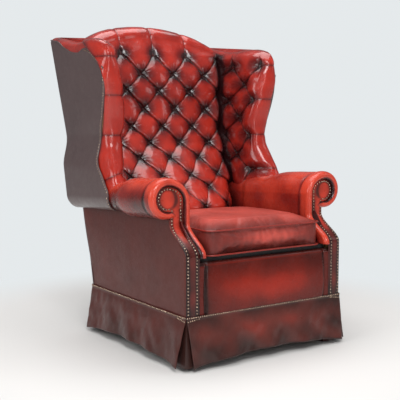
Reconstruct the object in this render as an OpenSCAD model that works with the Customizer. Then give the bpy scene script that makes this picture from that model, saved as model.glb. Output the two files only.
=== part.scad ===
// Tufted wing armchair with rolled arms, loose seat cushion and a hung skirt.
// Millimetres. +Z is up, the seat faces -Y, X = 0 is the plane of symmetry.
// The origin is on the floor, under the centre of the chair's box.

/* [Overall] */
// Depth of the box base behind the loose cushion
back_depth = 202; // [198:1:215]
// Height of the nail line that the skirt hangs from
nail_line_z = 168; // [155:1:185]
// Height of the top of the seat deck
deck_z = 350; // [340:1:365]
// Height of the crest in the middle of the back
crest_z = 1160; // [1120:5:1220]
// Fall of the crest from its middle to its corners
crest_fall = 60; // [30:1:75]
// Rake of the back from upright, in degrees
back_rake = 12.5; // [10:0.5:15]
// Splay of the wings and back posts from upright, in degrees
wing_splay = 4; // [2:0.5:5]

/* [Wooden frame] */
// Thickness of the seat rails
rail_t = 26; // [22:1:28]
// Height of the seat rails
rail_h = 100; // [80:1:120]
// Depth of the back posts and cross rails
post_d = 35; // [28:1:42]
// Width of the back posts
post_w = 60; // [50:1:64]
// Height of the cross rail over the seat
stay_rail_h = 60; // [40:1:70]
// Height of the crest rail at its middle
crest_rail_h = 90; // [70:1:110]
// Thickness of the arm boards
arm_board_t = 25; // [18:1:30]
// Thickness of the wing boards
wing_board_t = 35; // [25:1:38]
// Leg length of the corner blocks
corner_block_leg = 70; // [50:1:90]
// Height of the corner blocks
corner_block_h = 50; // [30:1:70]

/* [Feet] */
// Side of a foot at its top
foot_top_w = 64; // [56:1:70]
// Side of a foot at the floor
foot_bottom_w = 54; // [44:1:56]
// Set-back of the foot centres from the corners of the base
foot_inset = 36; // [34:1:44]
// Radius of a glide
glide_r = 11; // [8:1:14]
// Height of a glide
glide_h = 3; // [2:0.5:5]

/* [Webbing and deck] */
// Width of a webbing strap
strap_w = 50; // [40:1:60]
// Thickness of a webbing strap
strap_t = 2; // [1.5:0.5:3]
// Straps from side to side under the seat
cross_straps = 6; // [4:1:7]
// Straps from front to back under the seat
long_straps = 5; // [3:1:6]
// Straps across the back
back_straps = 5; // [3:1:6]
// Thickness of the black cloth under the seat
dust_cover_t = 1.5; // [1:0.5:2]

/* [Back pad] */
// Thickness of the back pad at the small of the back
lumbar_t = 195; // [170:1:210]
// Height of the pillows between the buttons of the back
back_tuft = 27; // [12:1:30]
// Height of the roll over the crest rail
crest_roll_h = 48; // [40:1:60]
// Radius of a covered button
button_r = 11; // [8:0.5:12]
// Height of a covered button
button_h = 12; // [8:0.5:14]

/* [Wings] */
// Thickness of a wing over its panel
wing_t = 90; // [84:1:96]
// Depth of the buttons of a wing under its pillows
wing_tuft = 18; // [8:1:24]
// Set-back of the top of a wing under the crest
wing_top_drop = 92; // [80:1:110]
// Thickness of the outside panels
panel_t = 6; // [4:0.5:8]
// Radius of the welt on the top edge of an outside wing
welt_r = 4; // [3:0.5:5]

/* [Arms] */
// Radius of an arm roll at its front
arm_roll_r = 64; // [58:1:68]
// Height of the centre of an arm roll at its front
arm_roll_z = 534; // [520:1:545]
// Distance of the centre of an arm roll outside the face of the outside arm panel
arm_roll_out = 12; // [8:1:16]
// Set-back of the arm fronts from the front of the base
arm_set_back = 93; // [80:1:110]
// Fall of the arms towards the back, in degrees
arm_slope = 2.6; // [1:0.2:4]
// Width of an arm, from its inside face to the face of the outside arm panel
arm_w = 74; // [72:0.5:80]
// Thickness of the arm lining below the roll
arm_lining_t = 35; // [30:1:38]
// Radius of the round head of an arm facing
facing_head_r = 43; // [36:1:46]
// Width of the stem of an arm facing
facing_stem_w = 54; // [44:1:54]
// Bulge of the padded border around a facing
facing_border_h = 16; // [10:1:20]
// Radius of a facing nail
nail_r = 3.5; // [2.5:0.5:5]
// Spacing of the facing nails
nail_pitch = 10.5; // [8:0.5:16]

/* [Seat] */
// Width of the loose seat cushion
cushion_w = 494; // [470:1:520]
// Depth of the loose seat cushion
cushion_d = 438; // [420:1:460]
// Thickness of the loose seat cushion at its welts
cushion_t = 78; // [60:1:90]
// Crown of the cushion's top
cushion_crown = 20; // [8:1:30]
// Crown of the cushion's underside
cushion_belly = 4; // [2:1:5]
// Drawing in of the cushion's sides between the corners
cushion_draw = 5; // [2:0.5:8]
// Radius of the cushion's welts
cushion_welt_r = 4; // [3:0.5:5]
// Thickness of the cushion's padded cover around its core
cushion_cover_t = 20; // [15:1:26]
// Overhang of the cushion over the front border
cushion_overhang = 4; // [0:1:8]
// Thickness of the padded front border
front_border_t = 24; // [18:1:28]

/* [Skirt] */
// Thickness of the skirt's leather
skirt_t = 3; // [2:0.5:4]
// Flare of the skirt's hem over the base
skirt_flare = 27; // [18:1:34]
// Height of the hem at the corners of a skirt panel
hem_z = 6; // [4:1:30]
// Rise of the hem in the middle of a skirt panel
hem_rise = 22; // [10:1:45]
// Depth of the soft folds at the hem
fold_h = 5; // [0:0.5:7]
// Soft folds across a skirt panel
folds = 4; // [2:1:5]
// Width of a pleat insert on each side of a corner
insert_w = 58; // [40:1:80]
// Opening of a corner pleat at the hem
pleat_gap = 38; // [20:1:44]

/* [Clearances] */
// Gap between the loose cushion's widest place and an arm
arm_gap = 3; // [1.5:0.5:6]
// Gap around the loose cushion's underside
cushion_gap = 0.4; // [0.3:0.1:1]
// Gap between soft pieces that lie side by side
soft_gap = 0.4; // [0.3:0.1:0.8]
// Gap between boards, rails and panels that are fixed to each other
joint_gap = 0.1; // [0.05:0.05:0.3]

/* [Hidden] */
$fn = 48;
overrun = 40;
// Bottom of the wooden frame, under the nail line
frame_z = nail_line_z - 3 * welt_r - nail_r;
rail_top_z = frame_z + rail_h;
// Width and depth of the box base, around the loose cushion
arm_inside_x = cushion_w / 2 + arm_gap;
side_half = arm_inside_x + arm_w;
arm_roll_x = side_half + arm_roll_out;
base_w = side_half * 2;
base_d = cushion_d + back_depth;
front_y = -base_d / 2;
foot_h = frame_z - glide_h;
back_base_z = deck_z + soft_gap;
crest_edge_z = crest_z - crest_roll_h;
front_reach = base_d / 2 + skirt_flare + skirt_t + soft_gap + fold_h;
back_reach = rear_y(crest_edge_z);
frame_shift = (front_reach - back_reach) / 2;
// Where the arm front sweeps forward to the front of the base, as shares of the height under the roll
sweep_low_share = 0.76;
sweep_high_share = 0.96;
sweep_low_z = (arm_roll_z - arm_roll_r) * sweep_low_share;
sweep_high_z = (arm_roll_z - arm_roll_r) * sweep_high_share;
sweep_steps = 12;
arm_front_y = front_y + arm_set_back;
arm_board_z = arm_roll_z - arm_roll_r / 4 - arm_board_t;
arm_low_z = deck_z - arm_lining_t - panel_t;
arm_rear_y = pad_y(arm_low_z) - soft_gap * 2;
board_in_x = arm_inside_x + arm_lining_t;
post_out_x = side_half - panel_t;
cushion_front_y = front_y - cushion_overhang;
cushion_mid_y = cushion_front_y + cushion_d / 2;
cushion_z = deck_z + cushion_belly + cushion_gap;

// Heights of the button rows, from one row over the top row down to the seat, as shares of the pad's height
row_shares = [[-1, 1], [0, 0.911], [1, 0.811], [2, 0.724], [3, 0.631], [4, 0.54], [5, 0.458],
              [6, 0.382], [7, 0.296], [8, 0.233], [9, 0.141], [10, 0.07], [11, 0]];
// Thickness of the back pad up its middle, as shares of the height and of the lumbar thickness
back_mid_shares = [[0, 0.97], [0.07, 1], [0.13, 1], [0.22, 0.78], [0.3, 0.585], [0.38, 0.415],
                   [0.46, 0.28], [0.54, 0.255], [0.63, 0.235], [0.72, 0.29], [0.81, 0.305],
                   [0.91, 0.275], [1, 0.24]];
// The same along the seam with a wing
back_side_shares = [[0, 0.45], [0.08, 0.46], [0.27, 0.51], [0.36, 0.41], [0.44, 0.33], [0.54, 0.28],
                    [0.67, 0.32], [0.82, 0.37], [1, 0.42]];
// Front outline of a wing: height share over the arm, and reach share of the base's half depth
wing_front_shares = [[0, 0.165], [0.08, 0.225], [0.18, 0.316], [0.28, 0.384], [0.35, 0.396], [0.445, 0.388],
                     [0.58, 0.35], [0.685, 0.325], [0.85, 0.303], [0.93, 0.31], [1, 0.36]];
// How far the front of a wing turns outwards, from the arm to the top: height share, share of its thickness
wing_flare_shares = [[0, 0.22], [0.05, 0.21], [0.14, 0.17], [0.22, 0.11], [0.33, 0], [0.43, -0.04],
                     [0.54, -0.03], [0.65, 0.08], [0.75, 0.19], [0.86, 0.22], [1, 0.2]];
// Front edge of an outside wing panel, from under the arm roll to the top of the wing, in the same shares
panel_edge_shares = [[0, 0.27], [0.06, 0.22], [0.12, 0.22], [0.168, 0.28], [0.22, 0.35], [0.275, 0.43],
                     [0.34, 0.49], [0.4, 0.506], [0.48, 0.49], [0.565, 0.44], [0.645, 0.4], [0.726, 0.385],
                     [0.79, 0.405], [0.84, 0.46], [0.889, 0.54], [0.93, 0.64], [1, 0.8]];
// How far the outside wing panel stands out over the arm roll: height share up to the waist, reach share
panel_swell_shares = [[0.3, 1], [0.5, 1], [0.66, 0.97], [0.8, 0.62], [0.9, 0.22], [1, 0]];
// Where the rows of a wing's grid lie, from the arm to the top: two rows for each row of buttons
wing_rise_shares = [0, 0.025, 0.09, 0.16, 0.23, 0.3, 0.37, 0.44, 0.51, 0.58, 0.65, 0.72, 0.79, 0.86,
                    0.93, 0.933, 0.965, 0.985, 1];
// Columns of the front roll, from the edge that is beside it to the front outline
roll_run_shares = [0.3, 0.55, 0.75, 0.9, 1];
// The grid lines of a wing that follow its panel's front and top edges
edge_column = 6;
cap_row = 14;
waist_share = 0.43;

// Smooth step from 0 to 1
function ramp(t) = let (c = min(1, max(0, t))) c * c * (3 - 2 * c);
function mix(a, b, t) = a + (b - a) * t;
// Rounded edge: rises from 0 at an outline to 1 over its width
function roll(t) = let (c = min(1, max(0, t))) sqrt(1 - (1 - c) * (1 - c));
// Pillow between the buttons: 0 on the folds, 1 at the middle of a diamond
function pillow(p, q) = pow(abs(sin(180 * p)) * abs(sin(180 * q)), 0.42);
// Outside face of the raked back, and the plane that the back pad lies against
function rear_y(z) = base_d / 2 + tan(back_rake) * (z - nail_line_z);
function pad_y(z) = rear_y(z) - panel_t - post_d;
// Splayed plane between the back pad and the wings
function side_x(z) = arm_inside_x - soft_gap * 2 + tan(wing_splay) * (z - deck_z);
// Front face of the arm, which sweeps forward under the roll
function sweep_share(z) = ramp((z - sweep_low_z) / (sweep_high_z - sweep_low_z));
function arm_face_y(z) = mix(front_y, arm_front_y, sweep_share(z));
// Heights at which the swept faces bend, between two ends
function sweep_heights(z0, z1) = concat([z0], [for (i = [0 : sweep_steps]) mix(sweep_low_z, sweep_high_z, i / sweep_steps)], [z1]);
function arm_drop(y) = tan(arm_slope) * max(0, y - arm_front_y);
function roll_radius(y) = arm_roll_r - panel_t * 2.6 * ramp((y - arm_front_y - arm_set_back * 2) / arm_set_back);

// Steps from a grid line to the nearest of the lines that lie six apart
function fold_steps(n) = let (r = ((n % 6) + 6) % 6) min(r, 6 - r);

// Closed solid through a row of closed outlines with the same number of points and flat ends.
// Where it is tufted, its edges follow the folds between the buttons.
module skin(loops, flip = false, tufted = false) {
    m = len(loops[0]);
    n = len(loops);
    walls = [for (i = [0 : n - 2], j = [0 : m - 1]) let (
            a = i * m + j, b = i * m + (j + 1) % m, c = (i + 1) * m + (j + 1) % m, d = (i + 1) * m + j)
        each ((tufted ? fold_steps(i - j + 3) < fold_steps(i + j - 2) : (i + j) % 2 == 0)
              ? [[a, b, c], [a, c, d]] : [[a, b, d], [b, c, d]])];
    ends = [[for (j = [m - 1 : -1 : 0]) j], [for (j = [0 : m - 1]) (n - 1) * m + j]];
    faces = concat(walls, ends);
    polyhedron(points = [for (l = loops, p = l) p],
               faces = flip ? [for (f = faces) [for (k = [len(f) - 1 : -1 : 0]) f[k]]] : faces,
               convexity = 8);
}

// Closed solid between two grids of points, the first seen with its columns to the right and rows up
module slab(front, back, flip = false) {
    m = len(front[0]);
    n = len(front);
    s = n * m;
    quads = concat(
        [for (i = [0 : n - 2], j = [0 : m - 2]) let (a = i * m + j) [a, a + 1, a + m + 1, a + m, (i + j) % 2]],
        [for (i = [0 : n - 2], j = [0 : m - 2]) let (a = s + i * m + j) [a, a + m, a + m + 1, a + 1, 1 - (i + j) % 2]],
        [for (j = [0 : m - 2]) [j, s + j, s + j + 1, j + 1, 0]],
        [for (j = [0 : m - 2]) let (a = (n - 1) * m + j) [a, a + 1, s + a + 1, s + a, 0]],
        [for (i = [0 : n - 2]) let (a = i * m) [a, a + m, s + a + m, s + a, 0]],
        [for (i = [0 : n - 2]) let (a = i * m + m - 1) [a, s + a, s + a + m, a + m, 0]]);
    faces = [for (q = quads) each (q[4] == 0 ? [[q[0], q[1], q[2]], [q[0], q[2], q[3]]]
                                             : [[q[0], q[1], q[3]], [q[1], q[2], q[3]]])];
    polyhedron(points = concat([for (r = front, p = r) p], [for (r = back, p = r) p]),
               faces = flip ? faces : [for (f = faces) [f[2], f[1], f[0]]],
               convexity = 8);
}

// Board between two splayed planes, cut to an outline of depth and height
module splayed(outline, a, b) {
    skin([[for (p = outline) [side_x(p[1]) + a, p[0], p[1]]],
          [for (p = outline) [side_x(p[1]) + b, p[0], p[1]]]]);
}

// Solid with an outline of depth and height, from one width to another
module along_x(x0, x1) {
    translate([x0, 0, 0]) rotate([90, 0, 90]) linear_extrude(x1 - x0) children();
}

// Solid with an outline of width and height, from one depth to another
module along_y(y0, y1) {
    translate([0, y1, 0]) rotate([90, 0, 0]) linear_extrude(y1 - y0) children();
}

module placed() {
    translate([0, frame_shift, 0]) children();
}

module on_left() {
    mirror([1, 0, 0]) children();
}

// Height of a button row: whole numbers count rows down from the top one, -1 is the crest's edge
function row_z(v, k) = v < 0
    ? mix(row_z(0, k), crest_edge_z - crest_fall * k * k, -v)
    : back_base_z + lookup(v, row_shares) * (crest_edge_z - back_base_z);
function back_pad_t(z, k) = let (h = (z - back_base_z) / (crest_edge_z - back_base_z))
    lumbar_t * mix(lookup(h, back_mid_shares), lookup(h, back_side_shares), pow(abs(k), mix(4.5, 2.5, ramp(h * 3))));
// Pillows fade out at the seat and over the crest
function back_rise(k, v) = back_tuft * pillow(2 * k + v / 2, 2 * k - v / 2) * ramp((10.2 - v) / 1.4) * mix(0.45, 1, ramp(v + 1));
// Point on the front of the back pad: k runs from -1 to 1 across, v counts the rows
function back_point(k, v) = let (z = row_z(v, k))
    [k * side_x(z), pad_y(z) - back_pad_t(z, k) - back_rise(k, v), z];
back_buttons_at = [for (v = [0 : 9], u = (v % 2 == 0) ? [-1, 0, 1] : [-1.5, -0.5, 0.5, 1.5]) [u / 2, v]];

function crest_loop(k) = let (
        edge = back_point(k, -1),
        rear = rear_y(edge[2]),
        mid = (edge[1] + rear) / 2,
        high = crest_roll_h * mix(1, 0.55, pow(abs(k), 6)) * (1 - 0.12 * pow(1 - abs(sin(360 * k)), 4)))
    [for (a = [30 : 30 : 150]) [k * side_x(edge[2] + high * sin(a)), mid - (rear - edge[1]) / 2 * cos(a), edge[2] + high * sin(a)]];

module inside_back() {
    color("firebrick") placed() skin([for (i = [-12 : 12]) let (k = i / 12, edge = row_z(-1, k)) concat(
        [for (j = [33 : -1 : -3]) back_point(k, j / 3)],
        crest_loop(k),
        [[k * side_x(edge), rear_y(edge), edge], [k * side_x(edge), pad_y(edge), edge],
         [k * side_x(back_base_z), pad_y(back_base_z), back_base_z]])], tufted = true);
}

// Covered button whose cone sits in the pit of its tuft, pointing up
module button() {
    rotate_extrude() polygon([[0, 0], [button_r, button_h], [button_r * 0.92, button_h * 1.25],
                              [button_r * 0.6, button_h * 1.5], [0, button_h * 1.6]]);
}

// Turns what points up to a direction
module facing_to(d) {
    rotate([0, acos(d[2] / norm(d)), atan2(d[1], d[0])]) children();
}

module back_buttons() {
    color("maroon") placed() for (b = back_buttons_at) let (
            k = b[0], v = b[1],
            d = cross(back_point(k + 1 / 12, v) - back_point(k - 1 / 12, v), back_point(k, v - 1 / 3) - back_point(k, v + 1 / 3)))
        translate(back_point(k, v) + d / norm(d) * soft_gap) facing_to(d) button();
}

// Arm roll: centre height and top of the padding at a depth
function roll_z(y) = arm_roll_z - arm_drop(y);
function arm_top_z(y) = roll_z(y) + roll_radius(y);

wing_top_z = crest_z - wing_top_drop;
wing_low_z = arm_top_z(arm_front_y + arm_set_back * 2) + soft_gap;
wing_corner_z = wing_top_z - crest_roll_h * 0.55;
panel_low_z = arm_roll_z - arm_roll_r - welt_r * 4;
wing_mid = wing_t / 2;
board_in = wing_t - panel_t - wing_board_t;
board_out = wing_t - panel_t;
wing_roll_w = wing_t * 0.55;

function wing_bottom(y) = arm_top_z(y) + soft_gap * 2;
function wing_top(y) = wing_top_z + welt_r * 6 * ramp((y - base_d / 4) / (base_d / 4))
    - (wing_top_z - wing_corner_z) * ramp((base_d * 0.22 - y) / (base_d * 0.095));
function front_of_wing(t) = lookup(t, wing_front_shares) * base_d / 2;
function panel_edge(z) = lookup((z - panel_low_z) / (wing_top_z - panel_low_z), panel_edge_shares) * base_d / 2;
// Place in depth and height on a wing: i counts the columns forward, j the rows up
function wing_place(i, j) = let (
        t = wing_rise_shares[j],
        z0 = mix(wing_low_z, wing_top_z, t),
        front = front_of_wing(t),
        edge = max(front + welt_r * 2, panel_edge(z0)),
        near = pad_y(z0),
        z1 = mix(wing_bottom(near), wing_top(near), t),
        rear = j > cap_row ? rear_y(z1) : pad_y(z1) - soft_gap * 2,
        y = i <= edge_column ? mix(rear, edge, i / edge_column)
            : i == edge_column + 1 ? edge - soft_gap * 2
            : mix(edge, front, roll_run_shares[i - edge_column - 2]))
    [y, mix(wing_bottom(y), wing_top(y), t)];
// The same for the tufted side, where every second column and row runs through buttons
function tuft_place(i, j) = let (
        t = wing_rise_shares[j],
        front = front_of_wing(t),
        first = front + wing_roll_w * 0.9,
        last = first + wing_row_h * 2.5,
        rear = wing_place(0, j)[0],
        shape = j == 0 || j == wing_rows ? 0 : 1,
        y = i >= edge_column ? mix(first, front, max(0, (i - edge_column) / 6))
            : i >= 2 ? mix(last, first, (i - 2) / (edge_column - 2)) : mix(rear, last, i / 2),
        place = mix(wing_place(i, j)[0], min(y, rear), shape))
    [place, mix(wing_bottom(place), wing_top(place), t)];
wing_columns = edge_column + 6;
wing_rows = len(wing_rise_shares) - 1;
function wing_edge_share(p, j) =
    roll((p[0] - front_of_wing(wing_rise_shares[j])) / wing_roll_w) * roll((wing_top(p[0]) - p[1]) / wing_roll_w);
wing_row_h = (wing_top_z - wing_low_z) * (wing_rise_shares[5] - wing_rise_shares[3]);
function wing_flare(z) = lookup((z - wing_low_z) / (wing_top_z - wing_low_z), wing_flare_shares) * wing_t;
// Outward turn of a place: all at the front outline, and none past a run behind the edge of the panel
function wing_turn(p, j, run) = let (t = wing_rise_shares[j], front = front_of_wing(t),
        edge = max(front + welt_r * 2, panel_edge(mix(wing_low_z, wing_top_z, t))))
    wing_flare(p[1]) * (1 - ramp((p[0] - front) / ((edge - front) * 0.7 + run)));
// Diamonds of the lattice of buttons: columns of buttons run up, with the first beside the front roll
function wing_seam(z) = pad_y(z) - back_pad_t(z, 1) - back_tuft;
function wing_inner(i, p, j) = wing_mid + wing_turn(p, j, j > cap_row ? 0 : wing_roll_w * 1.2) - (wing_mid - soft_gap) * wing_edge_share(p, j)
    + wing_tuft * (1 - pillow((max(0, edge_column - i) + j - 1) / 4, (max(0, edge_column - i) - j + 1) / 4))
      * ramp((wing_seam(p[1]) - p[0]) / wing_roll_w + 0.6) * ramp(wing_edge_share(p, j) * 1.6 - 0.6);
function wing_outer(i, p, j) = i <= edge_column && j <= cap_row ? board_in
    : wing_mid + wing_turn(p, j, 0)
      + (board_out - wing_mid) * roll((p[0] - front_of_wing(wing_rise_shares[j])) / (wing_roll_w * 0.5))
      * roll((wing_top(p[0]) - p[1]) / (wing_roll_w * 0.5));
function at_splay(p, off) = [side_x(p[1]) + off, p[0], p[1]];

function wing_surface(i, j) = let (p = tuft_place(i, j)) at_splay(p, wing_inner(i, p, j));

module wing_pad() {
    grid = [for (j = [0 : wing_rows]) [for (i = [0 : wing_columns]) wing_place(i, j)]];
    slab([for (j = [0 : wing_rows]) [for (i = [0 : wing_columns]) wing_surface(i, j)]],
         [for (j = [0 : wing_rows]) [for (i = [0 : wing_columns]) at_splay(grid[j][i], wing_outer(i, grid[j][i], j))]]);
}

module wing_pad_right() {
    color("firebrick") placed() wing_pad();
}

module wing_pad_left() {
    color("firebrick") placed() on_left() wing_pad();
}

wing_buttons_at = [for (j = [5, 9, 13]) [6, j], for (j = [3, 7, 11]) [4, j], for (j = [5, 9, 13]) [2, j]];

module wing_buttons() {
    for (b = wing_buttons_at) let (
            i = b[0], j = b[1], p = wing_surface(i, j),
            d = cross(wing_surface(i - 1, j) - wing_surface(i + 1, j), wing_surface(i, j - 1) - wing_surface(i, j + 1)))
        if (p[1] < wing_seam(p[2]) - button_r)
            translate(p + d / norm(d) * soft_gap) facing_to(d) button();
}

module wing_buttons_right() {
    color("maroon") placed() wing_buttons();
}

module wing_buttons_left() {
    color("maroon") placed() on_left() wing_buttons();
}

module wing_frame() {
    top = [for (i = [0 : edge_column]) wing_place(i, cap_row)];
    edge = [for (j = [cap_row - 1 : -1 : 0]) wing_place(edge_column, j)];
    low = wing_place(edge_column, 0)[1];
    heel = arm_board_z + arm_board_t - arm_drop(arm_rear_y) + overrun * 0.02;
    high = top[0][1] - soft_gap;
    outline = concat([[rear_y(high) - panel_t - joint_gap, high]],
        [for (p = top) [p[0] + soft_gap, p[1] - soft_gap]],
        [for (p = edge) [p[0] + soft_gap, p[1]]],
        [[arm_rear_y + soft_gap, wing_bottom(arm_rear_y)], [arm_rear_y + soft_gap, heel],
         [rear_y(heel) - panel_t - joint_gap, heel]]);
    splayed([for (i = [len(outline) - 1 : -1 : 0]) outline[i]], board_in, board_out - soft_gap / 2);
}

module wing_frame_right() {
    color("burlywood") placed() wing_frame();
}

module wing_frame_left() {
    color("burlywood") placed() on_left() wing_frame();
}

waist_z = mix(wing_low_z, wing_top_z, waist_share * 0.55);
panel_turns = [-80, -58, -36, -14, 4];
// Section of the outside wing panel at a depth: round the arm roll, then out over it and up the wing
function panel_row(n, y, off) = n < len(panel_turns)
    ? let (r = roll_radius(y) + soft_gap * 3.6 + off, a = panel_turns[n]) [arm_roll_x + r * cos(a), roll_z(y) + r * sin(a)]
    : n < len(panel_turns) + len(panel_swell_shares)
    ? let (s = panel_swell_shares[n - len(panel_turns)], z = mix(roll_z(y), waist_z, s[0]))
        [mix(side_x(z) + board_out, arm_roll_x + roll_radius(y) + soft_gap * 3.6, s[1]) + off, z]
    : let (h = (n - len(panel_turns) - len(panel_swell_shares) + 1) / 6,
           z = mix(waist_z, mix(wing_bottom(y), wing_top(y), wing_rise_shares[cap_row]), h))
        [side_x(z) + board_out + off, z];
panel_rows = len(panel_turns) + len(panel_swell_shares) + 6;
function panel_point(n, s, off) = let (
        z0 = panel_row(n, base_d / 6, 0)[1],
        edge = panel_edge(z0),
        y = mix(edge, rear_y(z0) - panel_t - soft_gap, s),
        p = panel_row(n, y, off))
    [p[0], min(y, rear_y(p[1]) - panel_t), p[1]];

module outside_wing() {
    slab([for (n = [0 : panel_rows - 1]) [for (s = [0 : 5]) panel_point(n, s / 5, panel_t)]],
         [for (n = [0 : panel_rows - 1]) [for (s = [0 : 5]) panel_point(n, s / 5, 0)]]);
}

module outside_wing_right() {
    color("dimgray") placed() outside_wing();
}

module outside_wing_left() {
    color("dimgray") placed() on_left() outside_wing();
}

// Round tube through a row of points that lie near one upright plane
module tube(path, r, sides = 6) {
    n = len(path) - 1;
    skin([for (i = [0 : n]) let (
            d = path[min(n, i + 1)] - path[max(0, i - 1)],
            t = d / norm(d),
            a = cross(t, [1, 0, 0]) / norm(cross(t, [1, 0, 0])),
            b = cross(a, t))
        [for (j = [0 : sides - 1]) path[i] + r * (a * cos(360 * j / sides) + b * sin(360 * j / sides))]]);
}

module wing_welt() {
    tube([for (s = [0 : 10]) let (p = panel_point(panel_rows - 1, s / 10, 0)) [p[0] + welt_r + soft_gap * 2, p[1], p[2] + welt_r + soft_gap / 2]], welt_r);
}

module wing_welt_right() {
    color("maroon") placed() wing_welt();
}

module wing_welt_left() {
    color("maroon") placed() on_left() wing_welt();
}

// Inside face of the arm padding, which draws back beside the back pad
function arm_inner_x(y, z) = mix(arm_inside_x, max(arm_inside_x, side_x(z)) + soft_gap * 2, ramp((y - base_d * 0.2) / (base_d * 0.06)));
arm_low_heights = concat([arm_low_z, deck_z + soft_gap], [for (i = [0 : sweep_steps]) mix(sweep_low_z, sweep_high_z, i / sweep_steps)],
    [arm_board_z + arm_board_t]);
low_count = len(arm_low_heights);
roll_board_x = arm_roll_x + arm_roll_r / 4;
// Padding of an arm at a depth share g: up the inside, over the roll and under it, then back round the board
function arm_loop(g) = let (
        low = [for (n = [0 : low_count - 1]) let (
            z0 = arm_low_heights[n],
            y = mix(arm_face_y(z0) + panel_t + soft_gap, arm_rear_y, g),
            z = z0 - arm_drop(y) * n * n / pow(low_count - 1, 2))
            [n < 2 ? stem_in_x : arm_inner_x(y, z), y, z]],
        back = [for (p = low) [board_in_x, p[1], p[2]]],
        y = mix(arm_front_y + panel_t + soft_gap, arm_rear_y, g),
        r = roll_radius(y),
        c = roll_z(y),
        shoulder = arm_board_z + arm_board_t - arm_drop(y),
        inner = arm_inner_x(y, shoulder),
        board = arm_board_z - arm_drop(y))
    concat(low,
        [for (a = [18 : 18 : 90]) [arm_roll_x - (arm_roll_x - inner) * cos(a), y, shoulder + (c + r - shoulder) * sin(a)]],
        [for (a = [70 : -20 : -105]) [arm_roll_x + r * cos(a), y, c + r * sin(a)]],
        [[arm_roll_x - r * sin(12), y, c - r * cos(12)], [arm_roll_x - r * sin(12), y, board],
         [roll_board_x, y, board], [roll_board_x, y, board + arm_board_t]],
        [for (n = [low_count - 1 : -1 : 0]) back[n]]);

// Corner of the board's slot that is nearest to a point of the roll's outline, counted from the top of the inside
function slot_corner(k) = k < 5 ? 18 : k < 10 ? 17 : k < 12 ? 16 : 15;

module arm_pad() {
    loops = [for (g = [0, 0.08, 0.2, 0.34, 0.48, 0.62, 0.74, 0.86, 1]) arm_loop(g)];
    m = len(loops[0]);
    n = len(loops);
    walls = [for (i = [0 : n - 2], j = [0 : m - 1]) let (
            a = i * m + j, b = i * m + (j + 1) % m, c = (i + 1) * m + (j + 1) % m, d = (i + 1) * m + j)
        each [[a, c, b], [a, d, c]]];
    end = concat(
        [for (j = [0 : low_count - 2]) let (b = m - 1 - j) each [[j, j + 1, b], [j + 1, b - 1, b]]],
        [for (k = [0 : 14]) let (o = low_count - 1 + k, c = low_count + slot_corner(k), b = low_count + slot_corner(max(0, k - 1)))
            each concat([[o, o + 1, c]], b == c ? [] : [[o, c, b]])]);
    last = (n - 1) * m;
    polyhedron(points = [for (l = loops, p = l) p],
               faces = concat(walls, end, [for (f = end) [last + f[2], last + f[1], last + f[0]]]),
               convexity = 8);
}

module arm_pad_right() {
    color("firebrick") placed() arm_pad();
}

module arm_pad_left() {
    color("firebrick") placed() on_left() arm_pad();
}

module arm_board() {
    y0 = arm_front_y + panel_t;
    y1 = pad_y(arm_board_z - arm_drop(arm_rear_y));
    top = arm_board_t - joint_gap;
    along_x(board_in_x + joint_gap, roll_board_x - joint_gap) polygon([for (p = [[y0, joint_gap], [y1, joint_gap], [y1, top], [y0, top]])
        [p[0], arm_board_z - arm_drop(p[0]) + p[1]]]);
}

module arm_board_right() {
    color("burlywood") placed() arm_board();
}

module arm_board_left() {
    color("burlywood") placed() on_left() arm_board();
}

module arm_post() {
    heights = sweep_heights(frame_z, arm_board_z);
    n = len(heights) - 1;
    along_x(board_in_x + joint_gap, post_out_x - joint_gap) polygon(concat(
        [for (i = [0 : n]) let (y = arm_face_y(heights[i]) + panel_t) [y, heights[i] - (i == n ? arm_drop(y) : 0)]],
        [for (i = [n : -1 : 0]) let (y = arm_face_y(heights[i]) + panel_t + post_w) [y, heights[i] - (i == n ? arm_drop(y) : 0)]]));
}

module arm_post_right() {
    color("burlywood") placed() arm_post();
}

module arm_post_left() {
    color("burlywood") placed() on_left() arm_post();
}

facing_x = arm_roll_x - facing_border_h / 5;
facing_z = arm_roll_z - facing_border_h / 5;
stem_in_x = side_half - facing_stem_w;

// Face of an arm front, between two depths behind it
module swept_face(t0, t1, z0, z1) {
    heights = sweep_heights(z0, z1);
    polygon(concat([for (z = heights) [arm_face_y(z) + t0, z]],
                   [for (i = [len(heights) - 1 : -1 : 0]) [arm_face_y(heights[i]) + t1, heights[i]]]));
}

module facing() {
    top = facing_z + facing_head_r + overrun;
    intersection() {
        along_x(stem_in_x - overrun, side_half + overrun * 3) swept_face(0, panel_t - soft_gap, frame_z, top);
        along_y(front_y - overrun, arm_front_y + overrun) union() {
            translate([facing_x, facing_z]) circle(facing_head_r);
            translate([facing_x, facing_z]) polygon(concat([[0, 0]],
                [for (a = [90 : 7.5 : 180]) [(facing_x - stem_in_x) * cos(a), facing_head_r * sin(a)]]));
            translate([stem_in_x, frame_z]) square([facing_stem_w, facing_z - frame_z]);
        }
    }
}

module facing_right() {
    color("firebrick") placed() facing();
}

module facing_left() {
    color("firebrick") placed() on_left() facing();
}

border_half = (stem_in_x - arm_inside_x) / 2;
border_ring = facing_head_r + border_half + soft_gap;
border_foot_z = deck_z + border_half;
border_path = concat(
    [for (i = [0 : 9]) [arm_inside_x + border_half, mix(border_foot_z, facing_z, i / 10)]],
    [for (a = [180 : -16 : 84]) let (r = a > 90 ? facing_x - arm_inside_x - border_half : border_ring)
        [facing_x + r * cos(a), facing_z + border_ring * sin(a)]],
    [for (a = [66 : -22 : -66]) [facing_x + border_ring * cos(a), facing_z + border_ring * sin(a)]]);

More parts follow.
